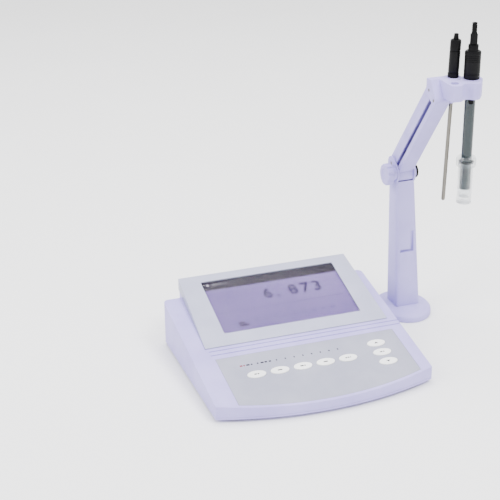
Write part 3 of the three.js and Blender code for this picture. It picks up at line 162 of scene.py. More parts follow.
@dataclass(frozen=True)
class Moulded:
    """Injection-moulded plastic: an even colour with faint flow clouds and a fine spark-eroded grain."""

    name: str
    light: str
    dark: str
    roughness: float = 0.45
    grain_mm: float = 0.6
    grain_depth_mm: float = 0.012
    cloud_mm: float = 45
    wear: float = 0.04
    sheen: float = 0.5
    ior: float = 1.53

    def build(self) -> bpy.types.Material:
        """Makes the material."""
        material, tree, shader = new_material(self.name)
        place = add_node(tree, "NewGeometry").outputs["Position"]
        cloud = add_node(tree, "TexNoise", {"Vector": place, "Scale": per_metre(self.cloud_mm), "Detail": 3.0})
        tint = add_node(tree, "ValToRGB", {"Fac": cloud.outputs["Fac"]})
        tint.color_ramp.elements[0].position = 0.35
        tint.color_ramp.elements[0].color = linear(self.dark)
        tint.color_ramp.elements[1].position = 0.65
        tint.color_ramp.elements[1].color = linear(self.light)
        grain = add_node(tree, "TexNoise", {"Vector": place, "Scale": per_metre(self.grain_mm), "Detail": 2.0})
        gloss = add_node(
            tree,
            "MapRange",
            {
                "Value": grain.outputs["Fac"],
                "To Min": self.roughness - self.wear,
                "To Max": self.roughness + self.wear,
            },
        )
        bump = add_node(
            tree,
            "Bump",
            {"Height": grain.outputs["Fac"], "Distance": self.grain_depth_mm * MM, "Strength": 1.0},
        )
        feed(
            shader,
            {
                "Base Color": tint.outputs["Color"],
                "Roughness": gloss.outputs["Result"],
                "Normal": bump.outputs["Normal"],
                "IOR": self.ior,
                "Specular IOR Level": self.sheen,
            },
        )
        return material


@dataclass(frozen=True)
class Brushed:
    """Plated or stainless steel, polished with a belt: fine streaks along one axis."""

    name: str
    colour: str
    roughness: float = 0.24
    streak_mm: float = 0.25
    stretch: tuple[float, float, float] = (1.0, 1.0, 0.04)
    polished: float = 0.08
    scuffed: float = 0.12
    shade: float = 0.82
    streak_depth_mm: float = 0.004

    def build(self) -> bpy.types.Material:
        """Makes the material."""
        material, tree, shader = new_material(self.name)
        place = add_node(tree, "NewGeometry").outputs["Position"]
        grain = add_node(tree, "Mapping", {"Vector": place, "Scale": self.stretch})
        streaks = add_node(
            tree,
            "TexNoise",
            {"Vector": grain.outputs["Vector"], "Scale": per_metre(self.streak_mm), "Detail": 4.0},
        )
        gloss = add_node(
            tree,
            "MapRange",
            {
                "Value": streaks.outputs["Fac"],
                "To Min": self.roughness - self.polished,
                "To Max": self.roughness + self.scuffed,
            },
        )
        tone = add_node(tree, "ValToRGB", {"Fac": streaks.outputs["Fac"]})
        red, green, blue, alpha = linear(self.colour)
        tone.color_ramp.elements[0].color = (red * self.shade, green * self.shade, blue * self.shade, alpha)
        tone.color_ramp.elements[1].color = (red, green, blue, alpha)
        depth = self.streak_depth_mm * MM
        bump = add_node(tree, "Bump", {"Height": streaks.outputs["Fac"], "Distance": depth, "Strength": 1.0})
        feed(
            shader,
            {
                "Base Color": tone.outputs["Color"],
                "Roughness": gloss.outputs["Result"],
                "Normal": bump.outputs["Normal"],
                "Metallic": 1.0,
            },
        )
        return material


@dataclass(frozen=True)
class Rubber:
    """Moulded black rubber: matt, faintly dusty, with a soft orange-peel skin."""

    name: str
    colour: str
    dust: str
    peel_mm: float = 1.1
    roughness: float = 0.78
    sheen: float = 0.15
    peel_depth_mm: float = 0.03

    def build(self) -> bpy.types.Material:
        """Makes the material."""
        material, tree, shader = new_material(self.name)
        place = add_node(tree, "NewGeometry").outputs["Position"]
        peel = add_node(tree, "TexNoise", {"Vector": place, "Scale": per_metre(self.peel_mm), "Detail": 5.0})
        tone = add_node(tree, "ValToRGB", {"Fac": peel.outputs["Fac"]})
        tone.color_ramp.elements[0].position = 0.45
        tone.color_ramp.elements[0].color = linear(self.colour)
        tone.color_ramp.elements[1].position = 0.8
        tone.color_ramp.elements[1].color = linear(self.dust)
        depth = self.peel_depth_mm * MM
        bump = add_node(tree, "Bump", {"Height": peel.outputs["Fac"], "Distance": depth, "Strength": 1.0})
        feed(
            shader,
            {
                "Base Color": tone.outputs["Color"],
                "Normal": bump.outputs["Normal"],
                "Roughness": self.roughness,
                "Specular IOR Level": self.sheen,
            },
        )
        return material


@dataclass(frozen=True)
class Clear:
    """Clear moulded or drawn material: it carries light, with faint flow lines in its surface."""

    name: str
    colour: str
    deep: str
    transmission: float = 1.0
    roughness: float = 0.05
    ior: float = 1.49
    ripple_mm: float = 9
    alpha: float = 1.0
    ripple_depth_mm: float = 0.03
    ripple_strength: float = 0.6

    def build(self) -> bpy.types.Material:
        """Makes the material."""
        material, tree, shader = new_material(self.name)
        place = add_node(tree, "NewGeometry").outputs["Position"]
        ripple = add_node(tree, "TexNoise", {"Vector": place, "Scale": per_metre(self.ripple_mm), "Detail": 1.0})
        tone = add_node(tree, "ValToRGB", {"Fac": ripple.outputs["Fac"]})
        tone.color_ramp.elements[0].color = linear(self.deep)
        tone.color_ramp.elements[1].color = linear(self.colour)
        bump = add_node(
            tree,
            "Bump",
            {
                "Height": ripple.outputs["Fac"],
                "Distance": self.ripple_depth_mm * MM,
                "Strength": self.ripple_strength,
            },
        )
        feed(
            shader,
            {
                "Base Color": tone.outputs["Color"],
                "Normal": bump.outputs["Normal"],
                "Transmission Weight": self.transmission,
                "Roughness": self.roughness,
                "IOR": self.ior,
                "Alpha": self.alpha,
            },
        )
        return material


@dataclass(frozen=True)
class LiquidCrystal:
    """A lit display: a purple field, a little uneven as its lamp is, under a very fine dot grid; its glow is partly
    painted light, making up for the light that the window pane keeps off it.
    """

    name: str
    light: str
    dark: str
    backlight_and_painted_glow: float = 0.25
    cloud_mm: float = 120
    dot_mm: float = 0.8
    dot_tones: tuple[float, float] = (1.04, 0.94)
    roughness: float = 0.35

    def build(self) -> bpy.types.Material:
        """Makes the material."""
        material, tree, shader = new_material(self.name)
        place = add_node(tree, "NewGeometry").outputs["Position"]
        cloud = add_node(tree, "TexNoise", {"Vector": place, "Scale": per_metre(self.cloud_mm), "Detail": 1.0})
        field_tone = add_node(tree, "ValToRGB", {"Fac": cloud.outputs["Fac"]})
        field_tone.color_ramp.elements[0].position = 0.35
        field_tone.color_ramp.elements[0].color = linear(self.dark)
        field_tone.color_ramp.elements[1].position = 0.65
        field_tone.color_ramp.elements[1].color = linear(self.light)
        dots = add_node(
            tree,
            "TexVoronoi",
            {"Vector": place, "Scale": per_metre(self.dot_mm), "Randomness": 0.0},
            distance="CHEBYCHEV",
        )
        lit, dim = self.dot_tones
        grid = add_node(tree, "MapRange", {"Value": dots.outputs["Distance"], "To Min": lit, "To Max": dim})
        tone = add_node(
            tree,
            "MixRGB",
            {"Fac": 1.0, "Color1": field_tone.outputs["Color"], "Color2": grid.outputs["Result"]},
            blend_type="MULTIPLY",
        )
        # The emission is partly painted light: a faint glow for the light that the window pane keeps off the display.
        feed(
            shader,
            {
                "Base Color": tone.outputs["Color"],
                "Emission Color": tone.outputs["Color"],
                "Emission Strength": self.backlight_and_painted_glow,
                "Roughness": self.roughness,
            },
        )
        return material


@dataclass(frozen=True)
class SolderMask:
    """A green circuit board: lacquer over copper, with raised tracks seen as lighter lines."""

    name: str
    colour: str
    track: str
    pitch_mm: float = 2.5
    track_share: float = 0.06
    track_depth_mm: float = 0.03
    roughness: float = 0.35

    def build(self) -> bpy.types.Material:
        """Makes the material."""
        material, tree, shader = new_material(self.name)
        place = add_node(tree, "NewGeometry").outputs["Position"]
        tracks = add_node(
            tree,
            "TexBrick",
            {
                "Vector": place,
                "Scale": per_metre(self.pitch_mm),
                "Color1": linear(self.colour),
                "Color2": linear(self.colour),
                "Mortar": linear(self.track),
                "Mortar Size": self.track_share,
            },
        )
        depth = self.track_depth_mm * MM
        bump = add_node(tree, "Bump", {"Height": tracks.outputs["Fac"], "Distance": depth, "Strength": 1.0})
        feed(
            shader,
            {
                "Base Color": tracks.outputs["Color"],
                "Normal": bump.outputs["Normal"],
                "Roughness": self.roughness,
            },
        )
        return material


class Finishes:
    """Every finish on the meter, made once."""

    def __init__(self) -> None:
        """Builds the materials."""
        # ABS housings in a pale lavender, spark-eroded to a fine matt grain.
        self.case = Moulded("abs_lavender", "afa6e0", "a59bd8", 0.5, sheen=0.3).build()
        # The same plastic in cool grey, a touch smoother.
        self.panel = Moulded("abs_cool_grey", "a9abc2", "a1a3bb", 0.46, grain_mm=0.5, sheen=0.3).build()
        # Polyester keypad film with an embossed velvet face.
        self.film = Moulded("polyester_velvet_film", "9b9cae", "9394a7", 0.55, 0.35, 0.006, sheen=0.25).build()
        # Satin white key caps.
        self.key = Moulded("abs_white_satin", "f6f6f7", "eeeef0", 0.32, 0.9, 0.004).build()
        # Glass-filled black plastic with a semi-gloss skin.
        self.black = Moulded("nylon_black", "0a0a0c", "060607", 0.4, 0.8, 0.008, 20, 0.04, 0.12).build()
        # Printed inks and display segments: thin, matt, slightly grainy.
        self.ink = Moulded("screen_ink_dark", "221c2c", "1a1522", 0.6, 0.3, 0.003, 8, sheen=0.1).build()
        self.segment = Moulded("liquid_crystal_segment", "2a2244", "231b3b", 0.5, 0.3, 0.001, 8, sheen=0.1).build()
        self.faint_segment = Moulded(
            "liquid_crystal_segment_faint", "3c3060", "352957", 0.5, 0.3, 0.001, 8, sheen=0.1
        ).build()
        self.red_ink = Moulded("screen_ink_red", "86323a", "762a32", 0.6, 0.3, 0.003, 8, sheen=0.1).build()
        self.pale_ink = Moulded("screen_ink_pale", "b4afc2", "a7a2b7", 0.55, 0.3, 0.003, 8).build()
        # The dark strip printed along the display's upper edge.
        self.band = Moulded("display_mask_ink", "28222f", "201b27", 0.5, 0.6, 0.003, 30, sheen=0.1).build()
        self.rubber = Rubber("natural_rubber_black", "0c0c0d", "161617").build()
        # Zinc-plated pressed steel, brushed lengthways.
        self.steel = Brushed("zinc_plated_steel", "c9ccd1", 0.3, 0.3, (0.04, 1.0, 1.0)).build()
        # Stainless steel turned on a lathe: the streaks run round, across the axis.
        self.turned_steel = Brushed("stainless_steel_turned", "77746c", 0.3, 0.22, (1.0, 1.0, 0.2)).build()
        # Acrylic window, hard-coated.
        self.lens = Clear("acrylic_window", "fbfaff", "f4f2fb", 1.0, 0.02, 1.49, 40, 0.06).build()
        # The display's faint emission is partly painted light, for the light that the window pane keeps off it.
        self.display = LiquidCrystal("liquid_crystal_purple", "644f8c", "54407c", 0.04).build()
        self.board = SolderMask("solder_mask_green", "1f5136", "2f7a50").build()
        # Dark teal filled glass tube of the combined electrode.
        self.tube = Clear("filled_glass_teal", "28393c", "111b1e", 0.2, 0.1, 1.5, 6, 0.96).build()
        self.inner_glass = Clear("drawn_glass", "dfe9ea", "cfdcde", 0.8, 0.03, 1.5, 12).build()
        self.bulb = Clear("membrane_glass", "e6eeee", "d6e0e2", 0.9, 0.03, 1.5, 6).build()
        self.bottle = Clear("polystyrene_clear", "cfd8dc", "b4c0c6", 0.9, 0.04, 1.57, 8, 0.28).build()
        # A whitish, barely clear finish for the bottle's thick floor.
        self.whitish_floor = Clear("bottle_floor_whitish", "f0f0f2", "dedfe4", 0.3, 0.35, 1.5, 7).build()


# ---------------------------------------------------------------- modelling tools
def alone(piece: bpy.types.Object) -> None:
    """Makes one object the only selected and the active one."""
    bpy.ops.object.select_all(action="DESELECT")
    piece.select_set(True)
    bpy.context.view_layer.objects.active = piece


class Editing:
    """Edit mode on one object, with everything selected, for the length of a with block."""

    def __init__(self, piece: bpy.types.Object) -> None:
        """Takes the object to edit."""
        self.piece = piece

    def __enter__(self) -> bpy.types.Object:
        """Opens edit mode."""
        alone(self.piece)
        bpy.ops.object.mode_set(mode="EDIT")
        bpy.ops.mesh.select_all(action="SELECT")
        return self.piece

    def __exit__(self, *_: object) -> None:
        """Closes edit mode."""
        bpy.ops.object.mode_set(mode="OBJECT")


def ring_of(name: str, points: Sequence[Sequence[float]], filled: bool) -> bpy.types.Object:
    """Adds a circle and moves its vertices to the given points.

    Args:
        name: The new object's name.
        points: Two or three coordinates each, in order round the outline, in millimetres.
        filled: Whether the outline gets a face.

    Returns:
        The new object.
    """
    bpy.ops.object.select_all(action="DESELECT")
    bpy.ops.mesh.primitive_circle_add(vertices=len(points), radius=1.0, fill_type="NGON" if filled else "NOTHING")
    piece = bpy.context.active_object
    piece.name = piece.data.name = name
    for vertex, point in zip(piece.data.vertices, points):
        vertex.co = (point[0], point[1], point[2] if len(point) > 2 else 0.0)
    return piece


def prism(name: str, outline: Sequence[Point], low: float, high: float) -> bpy.types.Object:
    """Extrudes an outline along +Z.

    Args:
        name: The new object's name.
        outline: Points in the XY plane, in millimetres.
        low: Height of the lower face.
        high: Height of the upper face.

    Returns:
        A closed solid.
    """
    piece = ring_of(name, [(x, y, low) for x, y in outline], True)
    with Editing(piece):
        bpy.ops.mesh.extrude_region_move(TRANSFORM_OT_translate={"value": (0, 0, high - low)})
        bpy.ops.mesh.select_all(action="SELECT")
        bpy.ops.mesh.normals_make_consistent(inside=False)
    return piece


def turned(name: str, profile: Sequence[Point], steps: int = 64) -> bpy.types.Object:
    """Spins a closed profile about Z.

    Args:
        name: The new object's name.
        profile: (radius, height) points round the section, in millimetres.
        steps: Faces round the piece.

    Returns:
        A closed solid.
    """
    piece = ring_of(name, [(r, 0.0, h) for r, h in profile], False)
    with Editing(piece):
        bpy.ops.mesh.spin(steps=steps, angle=math.tau, center=(0, 0, 0), axis=(0, 0, 1), use_auto_merge=True)
        bpy.ops.mesh.select_all(action="SELECT")
        bpy.ops.mesh.remove_doubles(threshold=0.002)
        bpy.ops.mesh.delete_loose(use_verts=True, use_edges=True, use_faces=False)
        bpy.ops.mesh.select_all(action="SELECT")
        bpy.ops.mesh.normals_make_consistent(inside=False)
    return piece


def ellipse(centre: Point, half: Point, count: int = 56) -> list[Point]:
    """Points on an ellipse, counter-clockwise."""
    turn = math.tau / count
    return [(centre[0] + half[0] * math.cos(i * turn), centre[1] + half[1] * math.sin(i * turn)) for i in range(count)]


def rectangle(centre: Point, size: Point, radius: float = 0.0, steps: int = 6) -> list[Point]:
    """A rectangle with rounded corners.

    Args:
        centre: Its middle.
        size: Its two sides.
        radius: The corner radius, 0 for sharp corners.
        steps: Steps along each corner.

    Returns:
        The outline, counter-clockwise.
    """
    half_x, half_y = size[0] / 2 - radius, size[1] / 2 - radius
    corners = ((half_x, -half_y, -90), (half_x, half_y, 0), (-half_x, half_y, 90), (-half_x, -half_y, 180))
    if radius <= 0:
        return [(centre[0] + x, centre[1] + y) for x, y, _ in corners]
    outline = []
    for x, y, start in corners:
        for step in range(steps + 1):
            angle = math.radians(start + 90 * step / steps)
            outline.append((centre[0] + x + radius * math.cos(angle), centre[1] + y + radius * math.sin(angle)))
    return outline


def apply_modifier(piece: bpy.types.Object, kind: str, **settings: object) -> bpy.types.Object:
    """Adds a modifier, sets it and applies it."""
    alone(piece)
    modifier = piece.modifiers.new(kind.lower(), kind)
    for key, value in settings.items():
        setattr(modifier, key, value)
    bpy.ops.object.modifier_apply(modifier=modifier.name)
    return piece


def bevelled(piece: bpy.types.Object, width: float, segments: int = 2, angle: float = 30) -> bpy.types.Object:
    """Rounds every edge sharper than an angle."""
    return apply_modifier(
        piece,
        "BEVEL",
        width=width,
        segments=segments,
        limit_method="ANGLE",
        angle_limit=math.radians(angle),
        harden_normals=False,
        use_clamp_overlap=True,
        miter_outer="MITER_ARC",
    )


def carved(piece: bpy.types.Object, *cutters: bpy.types.Object) -> bpy.types.Object:
    """Subtracts solids from a piece and removes them."""
    for cutter in cutters:
        apply_modifier(piece, "BOOLEAN", operation="DIFFERENCE", solver="EXACT", object=cutter)
        bpy.data.objects.remove(cutter)
    return piece


def united(piece: bpy.types.Object, *others: bpy.types.Object) -> bpy.types.Object:
    """Adds solids that cross a piece to it, as one body."""
    for other in others:
        apply_modifier(piece, "BOOLEAN", operation="UNION", solver="EXACT", object=other)
        bpy.data.objects.remove(other)
    return piece


def joined(piece: bpy.types.Object, others: Iterable[bpy.types.Object]) -> bpy.types.Object:
    """Joins printed marks and other separate shells to a piece, each with its own material."""
    others = list(others)
    alone(piece)
    for other in others:
        other.select_set(True)
    if others:
        bpy.ops.object.join()
    return piece


def settle(piece: bpy.types.Object, matrix: Matrix) -> bpy.types.Object:
    """Carries a mesh drawn in millimetres to its place in the row frame, in metres."""
    piece.data.transform(matrix @ Matrix.Scale(MM, 4))
    piece.data.update()
    return piece


def smooth(piece: bpy.types.Object) -> bpy.types.Object:
    """Shades a piece smooth across edges flatter than the usual angle."""
    alone(piece)
    bpy.ops.object.shade_smooth_by_angle(angle=SMOOTH_ANGLE, keep_sharp_edges=False)
    return piece


def painted(piece: bpy.types.Object, material: bpy.types.Material) -> bpy.types.Object:
    """Gives every face of a piece one material."""
    piece.data.materials.clear()
    piece.data.materials.append(material)
    return piece


def fit_out(piece: bpy.types.Object, body: Body | str, slot: Slot, *nodes: str) -> bpy.types.Object:
    """Shades a finished piece, hangs it on its body and lets it stand for CAD nodes."""
    smooth(piece)
    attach(piece, body.value if isinstance(body, Body) else body)
    if nodes:
        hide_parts(*nodes)
    return piece


def soft_copy(node: str, width_mm: float, material: bpy.types.Material, segments: int = 2) -> bpy.types.Object:
    """Copies a CAD node's shell, welds it, clears its flat faces and rounds its edges.

    Args:
        node: The CAD node.
        width_mm: The edge rounding.
        material: Its finish.
        segments: Steps across each rounded edge.

    Returns:
        A new object with its own mesh, in the row frame.
    """
    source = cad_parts[node]
    piece = bpy.data.objects.new(node + "_shell", source.data.copy())
    bpy.context.scene.collection.objects.link(piece)
    painted(piece, material)
    with Editing(piece):
        bpy.ops.mesh.remove_doubles(threshold=0.00002)
        bpy.ops.mesh.customdata_custom_splitnormals_clear()
        bpy.ops.mesh.select_all(action="SELECT")
        bpy.ops.mesh.dissolve_limited(angle_limit=math.radians(0.6), delimit={"NORMAL"})
        bpy.ops.mesh.select_all(action="SELECT")
        bpy.ops.mesh.normals_make_consistent(inside=False)
    return bevelled(piece, width_mm * MM, segments, 38)


def soft_piece(
    node: str, width_mm: float, material: bpy.types.Material, body: Body, slot: Slot, segments: int = 2
) -> bpy.types.Object:
    """Makes a soft copy of a CAD node and fits it out in the node's place."""
    return fit_out(soft_copy(node, width_mm, material, segments), body, slot, node)


# ---------------------------------------------------------------- places
@dataclass(frozen=True)
class Spot:
    """Where a CAD node is: its middle and its size, in millimetres."""

    low: Vector
    high: Vector

    @classmethod
    def of(cls, node: str) -> "Spot":
        """Reads a node's box."""
        low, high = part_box(node)
        return cls(low / MM, high / MM)

    @property
    def middle(self) -> Vector:
        """The box's middle."""
        return (self.low + self.high) / 2

    @property
    def size(self) -> Vector:
        """The box's three sides."""
        return self.high - self.low

    def frame(self, axis: Axis = Axis.Z, height: float | None = None) -> Matrix:
        """The frame of a piece turned about an axis: on its centre line, at height along it, in metres."""
        origin = self.middle.copy()
        if axis is Axis.X:
            origin.x = 0 if height is None else height
        elif axis is Axis.Y:
            origin.y = 0 if height is None else height
        else:
            origin.z = 0 if height is None else height
        return Matrix.Translation(origin * MM) @ axis.frame()


def turned_piece(
    name: str,
    node: str,
    profile: Sequence[Point],
    steps: int,
    material: bpy.types.Material,
    body: Body,
    slot: Slot,
    axis: Axis = Axis.Z,
) -> bpy.types.Object:
    """Turns a piece on a CAD node's centre line and fits it out in the node's place.

    Args:
        name: The new object's name.
        node: The CAD node it stands for.
        profile: (radius, height) points round the section, in millimetres.
        steps: Faces round the piece.
        material: Its finish.
        body: The body it rides.
        slot: Not used.
        axis: The row axis it is turned about.

    Returns:
        The finished piece.
    """
    piece = painted(turned(name, profile, steps), material)
    return fit_out(settle(piece, Spot.of(node).frame(axis)), body, slot, node)


@dataclass(frozen=True)
class Plane:
    """A sloping face of the console: the deck or the display panel."""

    front_y: float
    front_z: float
    slope: float

    def frame(self) -> Matrix:
        """+Y up the slope and +Z out of the face, from the middle of its front edge, in metres."""
        centre = Spot.of("upper_case").middle.x
        origin = Vector((centre, Spot.of("upper_case").high.y - CASE_DEPTH + self.front_y, self.front_z))
        return Matrix.Translation(origin * MM) @ Matrix.Rotation(math.radians(self.slope), 4, "X")

    def up(self, y: float) -> float:
        """The distance up the slope at a distance behind its front edge seen from above."""
        return y / math.cos(math.radians(self.slope))


CASE_DEPTH = 240.0  # front corners of the case to its back wall
DECK = Plane(0.0, 22.5, 10.4)
PANEL = Plane(108.0, 22.5 + 108.0 * math.tan(math.radians(10.4)) + 1.5, 16.2)


def letters(name: str, text: str, size: float, origin: Point, low: float, high: float) -> bpy.types.Object:
    """Makes numerals as a thin raised solid.

    Args:
        name: The new object's name.
        text: The numerals.
        size: The font size, in millimetres.
        origin: The middle of the text.
        low: Height of its lower face.
        high: Height of its upper face.

    Returns:
        A mesh.
    """
    bpy.ops.object.select_all(action="DESELECT")
    bpy.ops.object.text_add()
    piece = bpy.context.active_object
    piece.name = name
    piece.data.body = text
    piece.data.size = size
    piece.data.align_x = piece.data.align_y = "CENTER"
    piece.data.extrude = (high - low) / 2
    piece.data.resolution_u = 6
    piece.data.space_character = 1.3
    piece.data.offset = 0.022 * size
    bpy.ops.object.convert(target="MESH")
    piece = bpy.context.active_object
    piece.data.transform(Matrix.Translation((origin[0], origin[1], (low + high) / 2)))
    return piece


# ---------------------------------------------------------------- console
@dataclass
class Console:
    """The case, its deck, keypad, display and rear panel."""

    finishes: Finishes
    case_edge: float = 0.9
    tray_edge: float = 0.5
    housing_edge: float = 1.0
    overlay_edge: float = 0.12
    key_half: Point = (12.5, 6.75)
    key_under: float = -4.1
    key_top: float = 1.1
    key_flange: float = 1.3
    key_flange_height: float = 1.2
    key_round: float = 0.9
    key_row: tuple[float, float, float, int] = (-76.0, 44.5, 31.0, 5)
    key_column: tuple[float, float, float, int] = (95.5, 25.0, 19.0, 3)
    window: tuple[float, float, float, float] = (6.4, 74.0, 192.6, 105.0)
    window_corner: float = 2.0
    lens: tuple[float, float] = (-1.9, -0.3)
    glass: tuple[float, float] = (-4.5, -2.5)
    print_height: float = 0.06
    mark_gap: float = 0.9
    mark_height: float = 1.9
    legend_lift: float = 20.5
    legend_height: float = 2.4
    numeral_size: float = 27.0

    def key_places(self) -> list[Point]:
        """The middles of the eight keys seen from above, from the middle of the front edge."""
        x, y, pitch, count = self.key_row
        row = [(x + i * pitch, y) for i in range(count)]
        x, y, pitch, count = self.key_column
        return row + [(x, y + (count - 1 - i) * pitch) for i in range(count)]

    def build(self) -> None:
        """Builds the whole console."""
        self.shells()
        self.keypad()
        self.display()
        self.rear()
        self.underside()

    def shells(self) -> None:
        """The two case halves and the display housing, with rounded edges."""
        case, panel = self.finishes.case, self.finishes.panel
        soft_piece("upper_case", self.case_edge, case, Body.ROOT, Slot.CASE, 3)
        soft_piece("lower_case", self.tray_edge, case, Body.ROOT, Slot.CASE)
        soft_piece("display_housing", self.housing_edge, panel, Body.ROOT, Slot.PANEL, 3)

    def key(self, number: int, place: Point) -> None:
        """One key: an oval cap with a rounded, slightly dished top, and the flange that holds it in."""
        x, y = place[0], DECK.up(place[1])
        half_x, half_y = self.key_half
        flange = self.key_flange
        rim = ellipse((0, 0), (half_x + flange, half_y + flange))
        cap = ring_of(f"key_cap_{number}", [(a, b, self.key_under) for a, b in rim], True)
        shoulder = self.key_top - self.key_round
        steps = [
            (self.key_flange_height, 0.0),
            (0.0, -flange),
            (shoulder - self.key_under - self.key_flange_height, 0.0),
        ]
        arc = 4
        for i in range(arc):
            a, b = (math.radians(90 * (i + k) / arc) for k in (0, 1))
            steps.append((self.key_round * (math.sin(b) - math.sin(a)), self.key_round * (math.cos(b) - math.cos(a))))
        steps += [(-0.12, -1.2), (-0.1, -2.2)]
        inset, height = flange, self.key_under
        with Editing(cap):
            for rise, spread in steps:
                old = (half_x + inset, half_y + inset)
                inset += spread
                height += rise
                bpy.ops.mesh.extrude_region_move(TRANSFORM_OT_translate={"value": (0, 0, rise)})
                scale = ((half_x + inset) / old[0], (half_y + inset) / old[1], 1.0)
                bpy.ops.transform.resize(value=scale, center_override=(0, 0, height))
            bpy.ops.mesh.select_all(action="SELECT")
            bpy.ops.mesh.normals_make_consistent(inside=False)
        painted(cap, self.finishes.key)
        marks = [painted(m, self.finishes.ink) for m in self.key_marks(number, height)]
        joined(cap, marks)
        settle(cap, DECK.frame() @ Matrix.Translation(Vector((x, y, 0)) * MM))
        fit_out(cap, f"key_{number}", Slot.KEY, f"key_{number}")

    def key_marks(self, number: int, height: float) -> list[bpy.types.Object]:
        """The printed mark on a key: a few short bars, or an arrow on the two setting keys."""
        top = height + self.print_height
        if number in (6, 8):
            way = 1 if number == 6 else -1
            return [prism("arrow", [(-2.6, -1.2 * way), (2.6, -1.2 * way), (0, 2.0 * way)][::way], height, top)]
        widths = {1: (3.4, 2.2), 2: (6.2,), 3: (4.4, 1.8), 4: (5.6,), 5: (2.4, 2.4, 1.2), 7: (3.2, 2.0)}[number]
        marks, left = [], -(sum(widths) + self.mark_gap * (len(widths) - 1)) / 2
        for width in widths:
            outline = rectangle((left + width / 2, 0), (width, self.mark_height), 0.4, 2)
            marks.append(prism("bar", outline, height, top))
            left += width + self.mark_gap
        return marks

    def keypad(self) -> None:
        """The keypad film with its printed line, and the keys."""
        film = soft_copy("keypad_overlay", self.overlay_edge, self.finishes.film)
        marks = []
        x, y = self.key_places()[0]
        bars = [(-13.5, 3.5, True), (-9.5, 2.0, True), (-4.5, 4.5, False), (0.5, 2.0, False)]
        bars += [(8.5, 2.0, False), (14.5, 4.0, False), (19.5, 3.5, False), (25.0, 3.0, False)]
        bars += [(34.0 + 12.0 * i, 1.7, False) for i in range(8)]
        for shift, width, red in bars:
            middle = (x + shift, DECK.up(y + self.legend_lift))
            outline = rectangle(middle, (width, self.legend_height), 0.3, 2)
            mark = prism("legend", outline, 0.0, self.print_height)
            material = self.finishes.red_ink if red else self.finishes.ink
            marks.append(painted(settle(mark, DECK.frame()), material))
        joined(film, marks)
        fit_out(film, Body.ROOT, Slot.PANEL, "keypad_overlay")
        for i, place in enumerate(self.key_places()):
            self.key(i + 1, place)

    def display(self) -> None:
        """The window, and the glass behind it with its figures."""
        x, y, width, height = self.window
        low, high = self.lens
        outline = rectangle((x, y), (width - 2 * PLAY, height - 2 * PLAY), self.window_corner)
        lens = bevelled(prism("window_pane", outline, low, high), 0.35)
        painted(settle(lens, PANEL.frame()), self.finishes.lens)
        fit_out(lens, Body.ROOT, Slot.LENS, "display_window")
        low, high = self.glass
        pane = prism("glass_pane", rectangle((x, y), (width + 6, height + 6)), low, high)
        painted(settle(bevelled(pane, 0.2), PANEL.frame()), self.finishes.display)
        joined(pane, self.figures(high))
        fit_out(pane, Body.ROOT, Slot.DISPLAY, "lcd_glass")

    def figures(self, base: float) -> list[bpy.types.Object]:
        """The reading, the marks round it and the printed mask, just above the display glass."""
        x, y, width, height = self.window
        top = base + self.print_height
        left, back = x - width / 2, y + height / 2
        ink, pale = self.finishes.segment, self.finishes.pale_ink
        shapes = [
            ("mask", rectangle((x, back - 8.0), (width + 2, 18.0)), self.finishes.band, 0.0),
            ("rule", rectangle((x - 2, y - 11.5), (width - 12, 0.6)), ink, 0.0),
            ("mark", rectangle((left + 8, back - 6.0), (3.4, 3.4)), pale, 0.04),
            ("state_1", rectangle((left + 30, y - 35.5), (9.0, 3.2)), self.finishes.ink, 0.0),
            ("state_2", rectangle((left + 32, y - 40.5), (13.0, 3.2)), self.finishes.ink, 0.0),
        ]
        for i, length in enumerate((4.5, 2.5, 3.5)):
            place = (left + 17 + 8.5 * i, back - 6.5)
            shapes.append((f"heading_{i}", rectangle(place, (length, 1.4)), pale, 0.04))
        for i in range(9):
            place = (left + 52 + 13.5 * i, y - 33.0)
            shapes.append((f"segment_{i}", rectangle(place, (6.5, 1.8)), self.finishes.faint_segment, 0.0))
        made = []
        for name, outline, material, lift in shapes:
            made.append(painted(prism(name, outline, base, top + lift), material))
        for name, text, shift in (("reading_units", "6.", -8.5), ("reading_decimals", "873", 41.0)):
            reading = letters(name, text, self.numeral_size, (x + shift, y + 12.0), base, top)
            made.append(painted(reading, ink))
        return [settle(piece, PANEL.frame()) for piece in made]

    def rear(self) -> None:
        """The rear panel and its sockets, each turned about +Y."""
        soft_piece("rear_panel", 0.25, self.finishes.panel, Body.ROOT, Slot.PANEL)
        steel, black = self.finishes.steel, self.finishes.black
        self.socket("electrode_socket", steel, Slot.STEEL, 7.4, 4.8, 3.9, 0.8, 12.0, True)
        self.socket("reference_socket", steel, Slot.STEEL, 5.4, 3.6, 1.4, 0.0, 9.0, False)
        self.socket("temperature_socket", black, Slot.BLACK, 6.4, 4.6, 2.6, 0.6, 4.0, False)
        self.socket("power_inlet", black, Slot.BLACK, 6.2, 5.0, 3.4, 1.0, 5.0, False)
        self.serial_port()

